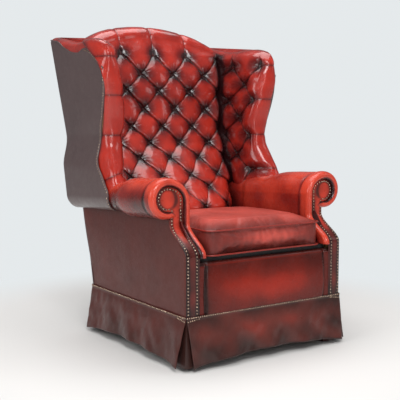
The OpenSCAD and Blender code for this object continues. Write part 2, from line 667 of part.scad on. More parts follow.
module facing_border() {
    n = len(border_path) - 1;
    skin([for (i = [0 : n]) let (
            p = border_path[i],
            d = border_path[min(n, i + 1)] - border_path[max(0, i - 1)],
            side = [d[1], -d[0]] / norm(d),
            fill = i == 0 || i == n ? 0.55 : 1,
            s = sweep_share(p[1]),
            y = arm_face_y(p[1]) + panel_t - soft_gap * 2.5 - panel_t * 1.4 * s * (1 - s))
        [for (a = [0 : 30 : 180]) [p[0] + side[0] * (border_half - soft_gap) * fill * cos(a),
            y - facing_border_h * fill * sin(a), p[1] + side[1] * (border_half - soft_gap) * fill * cos(a)]]]);
}

module facing_border_right() {
    color("firebrick") placed() facing_border();
}

module facing_border_left() {
    color("firebrick") placed() on_left() facing_border();
}

// Nail head, pointing up
module nail_head() {
    linear_extrude(nail_r * 0.6, scale = 0.5) circle(nail_r, $fn = 8);
}

function face_slope(z) = arm_face_y(z + nail_r) - arm_face_y(z - nail_r);

// Heights of a row of nails up the stem, evenly spaced along its curved face
function nail_row(z, top) = z > top ? [] :
    concat([z], nail_row(z + nail_pitch / norm([1, face_slope(z) / nail_r / 2]), top));

// The inner row rises over the head and round it to the neck, where the outer row starts
inner_nail_x = stem_in_x + nail_r * 4;
outer_nail_x = side_half - nail_r * 2.1;
nail_ring = facing_head_r - nail_r * 3;
ring_wide = facing_x - inner_nail_x;
over_nails = floor((nail_ring + ring_wide) * PI / 4 / nail_pitch);
ring_nails = floor(nail_ring * PI * 190 / 180 / nail_pitch);
facing_nails_at = concat(
    [for (z = nail_row(nail_line_z + nail_pitch, facing_z - nail_pitch / 2)) [inner_nail_x, z]],
    [for (z = nail_row(nail_line_z + nail_pitch, facing_z - nail_ring * 1.1)) [outer_nail_x, z]],
    [for (i = [0 : over_nails - 1]) let (t = i / over_nails, a = 180 - 90 * t * (1.2 - 0.2 * t))
        [facing_x + ring_wide * cos(a), facing_z + nail_ring * sin(a)]],
    [for (i = [0 : ring_nails]) let (a = 90 - 190 * i / ring_nails)
        [facing_x + nail_ring * cos(a), facing_z + nail_ring * sin(a)]]);

module facing_nails() {
    for (p = facing_nails_at)
        translate([p[0], arm_face_y(p[1]), p[1]]) rotate([atan2(2 * nail_r, face_slope(p[1])), 0, 0])
            translate([0, 0, soft_gap * 1.4]) nail_head();
}

module facing_nails_right() {
    color("wheat") placed() facing_nails();
}

module facing_nails_left() {
    color("wheat") placed() on_left() facing_nails();
}

function outside_arm_top(y) = roll_z(y) - roll_radius(y) - soft_gap;

module outside_arm() {
    top = outside_arm_top(arm_front_y + panel_t);
    heights = sweep_heights(frame_z, top);
    rear = outside_arm_top(arm_rear_y);
    along_x(post_out_x, side_half) polygon(concat(
        [for (z = heights) [arm_face_y(z) + panel_t, z]],
        [for (i = [1 : 6]) let (y = mix(arm_front_y + panel_t, arm_rear_y, i / 6)) [y, outside_arm_top(y)]],
        [[rear_y(rear) - panel_t - joint_gap, rear], [rear_y(frame_z) - panel_t - joint_gap, frame_z]]));
}

module outside_arm_right() {
    color("saddlebrown") placed() outside_arm();
}

module outside_arm_left() {
    color("saddlebrown") placed() on_left() outside_arm();
}

// Layer of the raked back, between two depths in front of its outside face
module raked(t0, t1, z0, z1) {
    intersection() {
        along_y(0, base_d + overrun) children();
        along_x(-base_w, base_w) polygon([[rear_y(z0) - t0, z0], [rear_y(z0) - t1, z0], [rear_y(z1) - t1, z1], [rear_y(z1) - t0, z1]]);
    }
}

// Layer of the raked back in which its rails lie
module raked_rail(z0, z1) {
    raked(panel_t + joint_gap, panel_t + post_d - joint_gap, z0, z1) children();
}

// Top edge of the outside back, across the arched crest
function crest_edge_at(k) = let (z = row_z(-1, k)) [k * side_x(z), z];
rear_half_shares = [[0, 0], [0.28, 0], [0.33, 0.6], [0.37, 0.95], [0.42, 1], [0.5, 1], [0.54, 0.97], [0.575, 0.62], [0.6, 0.22], [0.625, 0]];

module outside_back() {
    swell = [for (n = [0 : len(panel_turns) + len(panel_swell_shares) - 1]) panel_row(n, rear_y(arm_roll_z) - panel_t, panel_t)];
    shoulder = mix(wing_bottom(back_reach), wing_top(back_reach), wing_rise_shares[cap_row]);
    half = concat([[side_half, frame_z], [side_half, swell[0][1]]], swell, [[side_x(shoulder) + wing_t, shoulder]]);
    color("dimgray") placed() raked(0, panel_t, frame_z, crest_edge_z)
        polygon(concat(half, [for (i = [12 : -1 : -12]) crest_edge_at(i / 12)],
                       [for (i = [len(half) - 1 : -1 : 0]) [-half[i][0], half[i][1]]]));
}

module back_post() {
    top = row_z(-1, 1) - joint_gap;
    rear = panel_t + joint_gap;
    splayed([[pad_y(frame_z) + joint_gap, frame_z], [pad_y(top) + joint_gap, top], [rear_y(top) - rear, top], [rear_y(frame_z) - rear, frame_z]],
            board_in - post_w, board_in - joint_gap);
}

module back_post_right() {
    color("burlywood") placed() back_post();
}

module back_post_left() {
    color("burlywood") placed() on_left() back_post();
}

function post_inner_x(z) = side_x(z) + board_in - post_w;

module between_posts(z0, z1) {
    polygon([[-post_inner_x(z0), z0], [post_inner_x(z0), z0], [post_inner_x(z1), z1], [-post_inner_x(z1), z1]]);
}

module crest_rail() {
    low = row_z(-1, 1) - crest_rail_h + (crest_edge_z - row_z(-1, 1));
    color("burlywood") placed() raked_rail(low, crest_edge_z) intersection() {
        between_posts(low, crest_edge_z);
        polygon(concat([for (i = [-12 : 12]) crest_edge_at(i / 12) - [0, joint_gap]], [[side_x(low), low], [-side_x(low), low]]));
    }
}

module stay_rail() {
    color("burlywood") placed() raked_rail(deck_z, deck_z + stay_rail_h) between_posts(deck_z, deck_z + stay_rail_h);
}

module back_rail() {
    color("burlywood") placed() raked_rail(frame_z, rail_top_z) between_posts(frame_z, rail_top_z);
}

module front_rail() {
    color("burlywood") placed() translate([-board_in_x, front_y + front_border_t + joint_gap, frame_z]) cube([board_in_x * 2, rail_t, rail_h]);
}

module side_rail() {
    y0 = arm_face_y(frame_z) + panel_t + post_w;
    rear = panel_t + joint_gap;
    along_x(post_out_x - rail_t, post_out_x - joint_gap)
        polygon([[y0, frame_z], [rear_y(frame_z) - rear, frame_z], [rear_y(rail_top_z) - rear, rail_top_z], [y0, rail_top_z]]);
}

module side_rail_right() {
    color("burlywood") placed() side_rail();
}

module side_rail_left() {
    color("burlywood") placed() on_left() side_rail();
}

module corner_blocks() {
    front = front_y + front_border_t + rail_t + joint_gap * 2;
    rear = pad_y(frame_z);
    in_x = board_in_x;
    rear_x = post_inner_x(frame_z);
    color("burlywood") placed() for (m = [0, 1]) mirror([m, 0, 0]) {
        translate([0, 0, frame_z]) linear_extrude(corner_block_h)
            polygon([[in_x, front], [in_x, front + corner_block_leg], [in_x - corner_block_leg, front]]);
        translate([0, 0, frame_z]) linear_extrude(corner_block_h)
            polygon([[rear_x, rear], [rear_x, rear - corner_block_leg / 2], [rear_x - corner_block_leg, rear]]);
    }
}

module seat_webbing() {
    front = front_y + front_border_t;
    rear = pad_y(rail_top_z) + post_d * 0.6;
    color("tan") placed() {
        for (i = [0 : long_straps - 1])
            translate([mix(-arm_inside_x, arm_inside_x, (i + 0.5) / long_straps) - strap_w / 2, front + rail_t * 0.2, rail_top_z])
                cube([strap_w, rear - front - rail_t * 0.2, strap_t]);
        for (i = [0 : cross_straps - 1])
            translate([-post_out_x + rail_t * 0.2, mix(front + post_w + rail_t, pad_y(rail_top_z) - rail_t, (i + 0.5) / cross_straps) - strap_w / 2, rail_top_z + strap_t])
                cube([(post_out_x - rail_t * 0.2) * 2, strap_w, strap_t]);
    }
}

module seat_deck() {
    z0 = rail_top_z + strap_t * 2;
    half = stem_in_x - soft_gap * 2;
    front = front_y + front_border_t;
    color("gray") placed() translate([-half, front, z0]) cube([half * 2, pad_y(z0) - soft_gap - front, deck_z - z0]);
}

module back_webbing() {
    color("tan") placed() for (i = [0 : back_straps - 1]) let (
            z = mix(deck_z + stay_rail_h, crest_edge_z - crest_rail_h, (i + 0.5) / back_straps))
        raked(panel_t + post_d - strap_t, panel_t + post_d - joint_gap, z - strap_w / 2, z + strap_w / 2) between_posts(z - strap_w / 2, z + strap_w / 2);
}

module front_border() {
    half = stem_in_x - soft_gap;
    top = deck_z - panel_t * 2;
    color("firebrick") placed() along_x(-half, half) polygon(concat(
        [[front_y + front_border_t, frame_z], [front_y, frame_z], [front_y, nail_line_z + nail_r * 2]],
        [for (i = [1 : 8]) let (h = i / 9) [front_y - skirt_t * 1.6 * sin(180 * pow(h, 0.8)), mix(nail_line_z + nail_r * 2, top - front_border_t / 2, h)]],
        [for (a = [0 : 15 : 90]) [front_y + front_border_t / 2 - front_border_t / 2 * cos(a), top - front_border_t / 2 + front_border_t / 2 * sin(a)]],
        [[front_y + front_border_t, top]]));
}

// Outline of the cushion at a place of the unit square, with sides drawn in between full corners
cushion_half_w = cushion_w / 2 - 2 * cushion_welt_r;
cushion_half_d = cushion_d / 2 - 2 * cushion_welt_r;
function cushion_plan(x, y) = [
    x * (cushion_half_w - cushion_draw * (1 - y * y)) * (1 - 0.035 * pow(x, 6) * pow(y, 6)),
    cushion_mid_y + y * (cushion_half_d - cushion_draw * (1 - x * x)) * (1 - 0.035 * pow(x, 6) * pow(y, 6))];
function cushion_point(x, y, z, swell) = let (p = cushion_plan(x, y))
    [p[0], p[1], z + swell * pow(max(0, (1 - x * x) * (1 - y * y)), 0.55)];

module cushion_block() {
    in_w = cushion_half_w - cushion_draw - cushion_cover_t;
    in_d = cushion_half_d - cushion_draw - cushion_cover_t;
    skin_t = cushion_cover_t / 2;
    translate([-in_w, cushion_mid_y - in_d, cushion_z + skin_t]) cube([in_w * 2, in_d * 2, cushion_t - skin_t * 2]);
}

module cushion_cover() {
    nx = 8;
    ny = 7;
    color("indianred") placed() difference() {
        slab([for (j = [-ny : ny]) [for (i = [-nx : nx]) cushion_point(sin(90 * i / nx), sin(90 * j / ny), cushion_z + cushion_t, cushion_crown)]],
             [for (j = [-ny : ny]) [for (i = [-nx : nx]) cushion_point(sin(90 * i / nx), sin(90 * j / ny), cushion_z, -cushion_belly)]]);
        cushion_block();
    }
}

module cushion_core() {
    color("khaki") placed() cushion_block();
}

// Places round the cushion's outline, in the unit square
function cushion_round(n) = concat(
    [for (i = [-n : n - 1]) [sin(90 * i / n), -1]], [for (i = [-n : n - 1]) [1, sin(90 * i / n)]],
    [for (i = [n : -1 : -n + 1]) [sin(90 * i / n), 1]], [for (i = [n : -1 : -n + 1]) [-1, sin(90 * i / n)]]);

// Closed ring of piping round the cushion at a height
module cushion_ring(z) {
    places = cushion_round(6);
    n = len(places);
    path = [for (p = places) let (
            q = cushion_plan(p[0], p[1]),
            out = 1 + (cushion_welt_r + cushion_gap / 4) / cushion_half_d)
        [q[0] * out, cushion_mid_y + (q[1] - cushion_mid_y) * out, z]];
    rings = [for (i = [0 : n - 1]) let (
            d = path[(i + 1) % n] - path[(i + n - 1) % n],
            side = [d[1], -d[0], 0] / norm(d))
        [for (a = [0 : 72 : 288]) path[i] + cushion_welt_r * (side * cos(a) + [0, 0, sin(a)])]];
    polyhedron(points = [for (r = rings, p = r) p],
               faces = [for (i = [0 : n - 1], j = [0 : 4]) let (
                   a = i * 5 + j, b = i * 5 + (j + 1) % 5, k = (i + 1) % n, c = k * 5 + (j + 1) % 5, e = k * 5 + j)
                   each [[a, b, c], [a, c, e]]], convexity = 8);
}

module cushion_welts() {
    color("crimson") placed() for (z = [cushion_z, cushion_z + cushion_t]) cushion_ring(z);
}

// Rows of a skirt panel, from its nailed edge down to the hem
skirt_row_shares = [0, 0.08, 0.28, 0.52, 0.76, 1];
// Skirt panel of a width, hung on the plane y = 0 and facing -Y
module skirt_panel(w) {
    nx = 24;
    nz = len(skirt_row_shares) - 1;
    function place(e, d, off) = let (
            f = pow(max(0, d - skirt_row_shares[1]) / (1 - skirt_row_shares[1]), 0.9),
            low = hem_z + hem_rise * pow(max(0, 1 - e * e), 0.8),
            z = mix(nail_line_z + nail_r, low, d),
            half = w / 2 + (skirt_flare - pleat_gap) * f)
        [e * half, -soft_gap - skirt_flare * f - fold_h * d * d * cos(180 * folds * (e + 1)) - off, z];
    slab([for (j = [nz : -1 : 0]) [for (i = [0 : nx]) place(i * 2 / nx - 1, skirt_row_shares[j], skirt_t)]],
         [for (j = [nz : -1 : 0]) [for (i = [0 : nx]) place(i * 2 / nx - 1, skirt_row_shares[j], 0)]]);
}

module skirt_front() {
    color("brown") placed() translate([0, front_y, 0]) skirt_panel(base_w);
}

module skirt_back() {
    color("brown") placed() translate([0, rear_y(nail_line_z + nail_r), 0]) rotate([0, 0, 180]) skirt_panel(base_w);
}

module skirt_right() {
    color("brown") placed() translate([side_half, 0, 0]) rotate([0, 0, 90]) skirt_panel(base_d);
}

module skirt_left() {
    color("brown") placed() translate([-side_half, 0, 0]) rotate([0, 0, -90]) skirt_panel(base_d);
}

module pleat_inserts() {
    low = hem_z + hem_rise / 3;
    function corner(z, out) = [[side_half + out, front_y - out, z], [side_half + out, front_y + insert_w, z],
        [side_half + out - skirt_t, front_y + insert_w, z], [side_half + out - skirt_t, front_y - out + skirt_t, z],
        [side_half - insert_w, front_y - out + skirt_t, z], [side_half - insert_w, front_y - out, z]];
    color("black") placed() for (mx = [0, 1], my = [0, 1]) mirror([mx, 0, 0]) mirror([0, my, 0])
        polyhedron(points = concat(corner(low, skirt_flare / 2), corner(frame_z, 0)),
                   faces = concat([for (i = [0 : 5]) let (k = (i + 1) % 6) each [[i, i + 6, k + 6], [i, k + 6, k]]],
                                  [for (i = [1 : 4]) each [[0, i, i + 1], [6, i + 7, i + 6]]]));
}

module dust_cover() {
    half_w = post_out_x - rail_t / 2;
    front = front_y + front_border_t + rail_t / 2;
    rear = base_d / 2 - rail_t;
    cut = foot_inset + foot_top_w / 2 + soft_gap;
    color("black") placed() difference() {
        translate([-half_w, front, frame_z - dust_cover_t]) cube([half_w * 2, rear - front, dust_cover_t]);
        for (mx = [0, 1], my = [0, 1]) mirror([mx, 0, 0]) mirror([0, my, 0])
            translate([side_half - cut, front_y - overrun, frame_z - overrun]) cube([overrun + cut, overrun + cut, overrun * 2]);
    }
}

module foot() {
    translate([0, 0, glide_h + foot_h]) mirror([0, 0, 1]) linear_extrude(foot_h, scale = foot_bottom_w / foot_top_w)
        square(foot_top_w, center = true);
}

function foot_place(sx, sy) = [sx * (side_half - foot_inset), sy * (base_d / 2 - foot_inset), 0];

module foot_front_left() {
    color("saddlebrown") placed() translate(foot_place(-1, -1)) foot();
}

module foot_front_right() {
    color("saddlebrown") placed() translate(foot_place(1, -1)) foot();
}

module foot_rear_left() {
    color("saddlebrown") placed() translate(foot_place(-1, 1)) foot();
}

module foot_rear_right() {
    color("saddlebrown") placed() translate(foot_place(1, 1)) foot();
}

module glides() {
    color("silver") placed() for (sx = [-1, 1], sy = [-1, 1]) translate(foot_place(sx, sy)) cylinder(h = glide_h, r = glide_r);
}

front_rail();
back_rail();
side_rail_left();
side_rail_right();
corner_blocks();
back_post_left();
back_post_right();
crest_rail();
stay_rail();
arm_post_left();
arm_post_right();
arm_board_left();
arm_board_right();
wing_frame_left();
wing_frame_right();
seat_webbing();
seat_deck();
back_webbing();
inside_back();
back_buttons();
wing_pad_left();
wing_pad_right();
wing_buttons_left();
wing_buttons_right();
outside_wing_left();
outside_wing_right();
wing_welt_left();
wing_welt_right();
arm_pad_left();
arm_pad_right();
facing_left();
facing_right();
facing_border_left();
facing_border_right();
facing_nails_left();
facing_nails_right();
outside_arm_left();
outside_arm_right();
outside_back();
front_border();
cushion_cover();
cushion_core();
cushion_welts();
skirt_front();
skirt_back();
skirt_left();
skirt_right();
pleat_inserts();
dust_cover();
foot_front_left();
foot_front_right();
foot_rear_left();
foot_rear_right();
glides();
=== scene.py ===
import bisect
from math import asin, atan2, copysign, cos, degrees, exp, floor, hypot, pi, radians, sin, sqrt, tan

import bmesh
import bpy
from mathutils import Matrix, Vector, noise


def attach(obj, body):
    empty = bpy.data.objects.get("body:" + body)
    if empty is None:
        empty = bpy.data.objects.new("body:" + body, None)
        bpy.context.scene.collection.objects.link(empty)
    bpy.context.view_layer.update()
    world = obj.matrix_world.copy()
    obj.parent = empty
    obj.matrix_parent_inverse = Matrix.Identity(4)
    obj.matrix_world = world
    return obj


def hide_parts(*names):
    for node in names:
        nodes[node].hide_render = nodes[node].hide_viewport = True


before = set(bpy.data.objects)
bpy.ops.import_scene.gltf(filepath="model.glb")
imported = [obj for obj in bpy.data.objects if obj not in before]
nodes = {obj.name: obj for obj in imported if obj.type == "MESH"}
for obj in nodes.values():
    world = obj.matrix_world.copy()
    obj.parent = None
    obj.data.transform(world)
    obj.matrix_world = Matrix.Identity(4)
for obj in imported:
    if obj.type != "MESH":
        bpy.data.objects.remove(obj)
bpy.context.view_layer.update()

# Sizes of the chair in millimetres, most as in the part's source, with Y = 0 in the middle of the base
ARM_INSIDE_X = 250.0
SIDE_HALF = 324.0
BASE_D = 640.0
FRONT_Y = -BASE_D / 2
NAIL_LINE_Z = 168.0
FRAME_Z = 152.5
DECK_Z = 350.0
CREST_Z = 1160.0
CREST_FALL = 60.0
CREST_ROLL_H = 48.0
CREST_EDGE_Z = CREST_Z - CREST_ROLL_H
BACK_BASE_Z = 350.4
BACK_LEAN = tan(radians(12.5))
WING_LEAN = tan(radians(4))
POST_D = 35.0
PANEL_T = 6.0
LUMBAR_T = 195.0
BACK_TUFT = 27.0
WING_T = 90.0
WING_TUFT = 18.0
WING_TOP_Z = CREST_Z - 92.0
WING_ROLL_W = WING_T * 0.55
ARM_ROLL_R = 64.0
ARM_ROLL_Z = 534.0
ARM_ROLL_X = 336.0
ARM_CORE_X = 288.0
ARM_FRONT_Y = FRONT_Y + 93.0
ARM_SLOPE = tan(radians(2.6))
ARM_BOARD_TOP = 518.0
SWEEP_LOW_Z = (ARM_ROLL_Z - ARM_ROLL_R) * 0.76
SWEEP_HIGH_Z = (ARM_ROLL_Z - ARM_ROLL_R) * 0.96
SOFT_GAP = 0.4
BORDER_HALF_W = 272.2
BORDER_SEAM_X = 251
WELT_R = 4.0
NAIL_R = 3.5
NAIL_PITCH = 10.5
SKIRT_FLARE = 27.0
SKIRT_T = 3.0
HEM_Z = 12.0
HEM_RISE = 22.0
PLEAT_GAP = 38.0
FOLD_H = 5.0
SKIRT_FOLDS = 4
CUSHION_W = 494.0
CUSHION_D = 438.0
CUSHION_T = 78.0
CUSHION_CROWN = 20.0
CUSHION_BELLY = 4.0
CUSHION_DRAW = 5.0
CUSHION_WELT_R = 4.0
CUSHION_CORD_R = 2.9
CUSHION_Z = DECK_Z + CUSHION_BELLY + 0.4
CUSHION_MID_Y = FRONT_Y - 4.0 + CUSHION_D / 2
FRONT_REACH = BASE_D / 2 + SKIRT_FLARE + SKIRT_T + SOFT_GAP + FOLD_H
BACK_REACH = BASE_D / 2 + BACK_LEAN * (CREST_EDGE_Z - NAIL_LINE_Z)
FRAME_SHIFT = (FRONT_REACH - BACK_REACH) / 2

WING_ROW_HEIGHTS = [[0, 570], [1, 600], [3, 655], [5, 730], [7, 800], [9, 868], [11, 930], [13, 1000],
                    [15, 1070]]
CAP_LINE = [[109, 958], [137, 982], [170, 1004], [204, 1024], [247, 1033], [301, 1022], [331, 1024],
            [408, 1048], [460, 1076], [516, 1086]]


# Curves and measures
def ramp(t):
    c = min(1.0, max(0.0, t))
    return c * c * (3 - 2 * c)


def mix(a, b, t):
    return a + (b - a) * t


def edge_roll(t):
    c = min(1.0, max(0.0, t))
    return sqrt(max(0.0, 1 - (1 - c) * (1 - c)))


def bell(x, power=2):
    """1 at 0, falling off smoothly on both sides."""
    return exp(-x ** power)


def from_whole(value):
    """Distance to the nearest whole number."""
    return abs(value - round(value))


def smooth_curve(pairs):
    """Smooth curve through the pairs that never swings past them."""
    xs = [p[0] for p in pairs]
    ys = [p[1] for p in pairs]
    slopes = [(y1 - y0) / (x1 - x0) for x0, x1, y0, y1 in zip(xs, xs[1:], ys, ys[1:])]
    tangents = [slopes[0]]
    for a, b in zip(slopes, slopes[1:]):
        tangents.append(0.0 if a * b <= 0 else 2 * a * b / (a + b))
    tangents.append(slopes[-1])

    def value(x):
        if x <= xs[0]:
            return ys[0]
        if x >= xs[-1]:
            return ys[-1]
        i = bisect.bisect_right(xs, x) - 1
        h = xs[i + 1] - xs[i]
        t = (x - xs[i]) / h
        a = ys[i] * (1 + 2 * t) + tangents[i] * h * t
        b = ys[i + 1] * (3 - 2 * t) + tangents[i + 1] * h * (t - 1)
        return a * (1 - t) * (1 - t) + b * t * t

    return value


# Measured curves, from pairs of a place along a piece and its measure there
row_share = smooth_curve([
    [-1, 1], [0, 0.911], [1, 0.811], [2, 0.724], [3, 0.631], [4, 0.54], [5, 0.458], [6, 0.382],
    [7, 0.296], [8, 0.233], [9, 0.141], [10, 0.07], [11, 0]
])
back_mid_share = smooth_curve([
    [0, 0.97], [0.07, 1], [0.13, 1], [0.22, 0.78], [0.3, 0.585], [0.38, 0.415], [0.46, 0.28],
    [0.54, 0.255], [0.63, 0.235], [0.72, 0.29], [0.81, 0.305], [0.91, 0.275], [1, 0.24]
])
back_side_share = smooth_curve([
    [0, 0.45], [0.08, 0.46], [0.27, 0.51], [0.36, 0.41], [0.44, 0.33], [0.54, 0.28], [0.67, 0.32],
    [0.82, 0.37], [1, 0.42]
])
wing_front_share = smooth_curve([
    [0, 0.165], [0.08, 0.225], [0.18, 0.316], [0.28, 0.384], [0.35, 0.396], [0.445, 0.388],
    [0.58, 0.35], [0.685, 0.325], [0.85, 0.303], [0.93, 0.31], [1, 0.36]
])
panel_edge_share = smooth_curve([
    [0, 0.27], [0.06, 0.22], [0.12, 0.22], [0.168, 0.28], [0.22, 0.35], [0.275, 0.43], [0.34, 0.49],
    [0.4, 0.506], [0.48, 0.49], [0.565, 0.44], [0.645, 0.4], [0.726, 0.37], [0.79, 0.345], [0.84, 0.36],
    [0.889, 0.46], [0.93, 0.6], [1, 0.8]
])
wing_flare = smooth_curve([
    [590, 48], [620, 39], [660, 26], [700, 14], [750, -1], [800, -4], [850, -3], [900, 7], [950, 18],
    [1000, 20], [1060, 18]
])
wing_row_z = smooth_curve(WING_ROW_HEIGHTS)
wing_row = smooth_curve([[z, row] for row, z in WING_ROW_HEIGHTS])
cap_line = smooth_curve(CAP_LINE)
nail_line = smooth_curve([
    [455, 86], [491, 70], [528, 66], [557, 85], [590, 109], [620, 134], [660, 157], [700, 162],
    [750, 157], [800, 140], [850, 123], [900, 112], [958, 109]
])
wing_ridge = smooth_curve([
    [70, 1040], [110, 1043], [150, 1060], [200, 1069], [245, 1070], [300, 1068], [345, 1070],
    [420, 1082], [516, 1102]
])


def steps(a, b, n):
    """Evenly spaced stations from a to b, both included."""
    return [a + (b - a) * i / n for i in range(n + 1)]


def runs(start, *stretches):
    """Stations through stretches that are each given as an end and a count."""
    found = [start]
    for end, count in stretches:
        found += steps(start, end, count)[1:]
        start = end
    return found


def in_frame(x, y, z):
    return Vector((x * 0.001, (y + FRAME_SHIFT) * 0.001, z * 0.001))


def soft_noise(x, y, z, size, seed=0.0):
    """Smooth unevenness from -1 to 1 with bumps of a size in millimetres."""
    return noise.noise(Vector((x / size + seed, y / size - seed, z / size + seed * 0.37)))


# Making and placing pieces
def surface(us, vs, point, worn_and_shaded=True):
    """Grid whose corners lie at point(u, v), which also gives the mark of wear and painted shade of leather
    that has it.
    """
    bm = bmesh.new()
    wear_and_shade = bm.verts.layers.float.new("wear_and_shade") if worn_and_shaded else None
    bmesh.ops.create_grid(bm, x_segments=len(us) - 1, y_segments=len(vs) - 1, size=0.5)
    for v in bm.verts:
        u = us[round((v.co.x + 0.5) * (len(us) - 1))]
        w = vs[round((v.co.y + 0.5) * (len(vs) - 1))]
        place = point(u, w)
        v.co = in_frame(*place[:3])
        if worn_and_shaded:
            v[wear_and_shade] = place[3]
    return bm


def face_out(bm):
    bmesh.ops.recalc_face_normals(bm, faces=bm.faces[:])


def face_towards(bm, x, y):
    """Turns the faces of an open sheet so that they look in a direction of the plan."""
    face_out(bm)
    if sum(f.normal.x * x + f.normal.y * y for f in bm.faces) < 0:
        bmesh.ops.reverse_faces(bm, faces=bm.faces[:])


MEETING_GAP = 1e-5


def close_up(bm):
    """Joins the corners that meet, fills what stays open and turns the faces outwards."""
    bmesh.ops.remove_doubles(bm, verts=bm.verts[:], dist=MEETING_GAP)
    bmesh.ops.dissolve_degenerate(bm, edges=bm.edges[:], dist=MEETING_GAP)
    rim = [e for e in bm.edges if e.is_boundary]
    if rim:
        filled = bmesh.ops.holes_fill(bm, edges=rim, sides=0)
        bmesh.ops.triangulate(bm, faces=filled["faces"])
    face_out(bm)


def domes(spots, radius, height, segments, rings, sink=0.0):
    """Buttons or nail heads: flattened balls at pairs of a place and the way out of the leather there."""
    bm = bmesh.new()
    shape = Matrix.Diagonal((radius * 0.001, radius * 0.001, height * 0.001, 1))
    for place, out in spots:
        out = out.normalized()
        turn = Vector((0, 0, 1)).rotation_difference(out).to_matrix().to_4x4()
        seat = Matrix.Translation(in_frame(*place) + out * (sink * 0.001)) @ turn
        bmesh.ops.create_uvsphere(bm, u_segments=segments, v_segments=rings, radius=1.0, matrix=seat @ shape)
    face_out(bm)
    return bm


BUTTON_R = 11.0
BUTTON_H = 6.0
NAIL_DOME = 0.7


def buttons(spots, sink):
    return domes(spots, BUTTON_R, BUTTON_H, 18, 10, sink)


def nail_heads(spots, radius):
    return domes(spots, radius, radius * NAIL_DOME, 8, 4)


def mirrored(bm):
    """The same piece for the other side of the chair."""
    other = bm.copy()
    bmesh.ops.scale(other, vec=Vector((-1, 1, 1)), verts=other.verts[:])
    bmesh.ops.reverse_faces(other, faces=other.faces[:])
    return other


def make_piece(name, bm, material, body="chair", replaces=()):
    """Smooth-shaded piece on a body, in place of the part's nodes that it replaces."""
    mesh = bpy.data.meshes.new(name)
    for face in bm.faces:
        face.smooth = True
    bm.to_mesh(mesh)
    bm.free()
    piece = bpy.data.objects.new(name, mesh)
    bpy.context.scene.collection.objects.link(piece)
    mesh.materials.append(material)
    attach(piece, body)
    if replaces:
        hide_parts(*replaces)
    return piece


def both_sides(name, bm, material, replaces=()):
    """The right piece and its mirror image, named _right and _left."""
    left = mirrored(bm)
    pieces = []
    for side, mesh in (("_right", bm), ("_left", left)):
        of_side = [node_name + side for node_name in replaces]
        pieces.append(make_piece(name + side, mesh, material, replaces=of_side))
    return pieces


def thicken(piece, thickness):
    """Gives a sheet its thickness in metres on the inner side."""
    wall = piece.modifiers.new("thickness", "SOLIDIFY")
    wall.thickness = thickness
    wall.offset = -1.0


# Materials
def colour(r, g, b):
    """Linear colour from the eight-bit values seen on a screen."""
    def linear(c):
        return c / 255 / 12.92 if c <= 10 else ((c / 255 + 0.055) / 1.055) ** 2.4
    return linear(r), linear(g), linear(b), 1.0


class Finish:
    """Node material with the few node kinds that this chair needs."""

    def __init__(self, name):
        self.material = bpy.data.materials.new(name)
        self.material.use_nodes = True
        self.tree = self.material.node_tree
        self.shader = self.tree.nodes["Principled BSDF"]
        self.place = self.add("ShaderNodeTexCoord").outputs["Object"]

    def feed(self, socket, value):
        """Sets a socket to a number or colour, or links another node's socket to it."""
        if isinstance(value, (int, float, tuple)):
            socket.default_value = value
        else:
            self.tree.links.new(value, socket)

    def add(self, kind, **values):
        """New node with its settings, and its inputs by their names."""
        node = self.tree.nodes.new(kind)
        for key, value in values.items():
            if hasattr(node, key):
                setattr(node, key, value)
            else:
                self.feed(node.inputs[key.replace("_", " ")], value)
        return node

    def mottle(self, scale, detail=3.0, roughness=0.55, stretch=None, seed=0.0):
        """Noise over the piece, with its scale in waves per metre."""
        place = self.place
        if stretch or seed:
            shift = (seed, seed * 0.7, seed * 1.3)
            turn = self.add("ShaderNodeMapping", Scale=stretch or (1, 1, 1), Location=shift, Vector=place)
            place = turn.outputs["Vector"]
        field = self.add("ShaderNodeTexNoise", Scale=scale, Detail=detail, Roughness=roughness, Vector=place)
        return field.outputs["Fac"]

    def math(self, operation, *values):
        node = self.add("ShaderNodeMath", operation=operation)
        for socket, value in zip(node.inputs, values):
            self.feed(socket, value)
        return node.outputs[0]

    def band(self, value, low, high, out_low=0.0, out_high=1.0):
        """Smooth step between two levels while the value goes from low to high."""
        node = self.add("ShaderNodeMapRange", interpolation_type="SMOOTHSTEP", Value=value, From_Min=low,
                        From_Max=high, To_Min=out_low, To_Max=out_high)
        return node.outputs["Result"]

    def shades(self, value, *stops):
        """Colours along a value, from stops of a position and eight-bit values."""
        node = self.add("ShaderNodeValToRGB", Fac=value)
        elements = node.color_ramp.elements
        while len(elements) < len(stops):
            elements.new(0.5)
        for element, (position, tint) in zip(elements, stops):
            element.position = position
            element.color = colour(*tint)
        return node.outputs["Color"]

    def relief(self, height, strength, distance, under=None):
        """Bumps of a depth in metres, on top of those under them."""
        node = self.add("ShaderNodeBump", Strength=strength, Distance=distance, Height=height)
        if under is not None:
            self.feed(node.inputs["Normal"], under)
        return node.outputs["Normal"]

    def give(self, **values):
        """Sets or links inputs of the surface shader."""
        for name, value in values.items():
            self.feed(self.shader.inputs[name.replace("_", " ")], value)


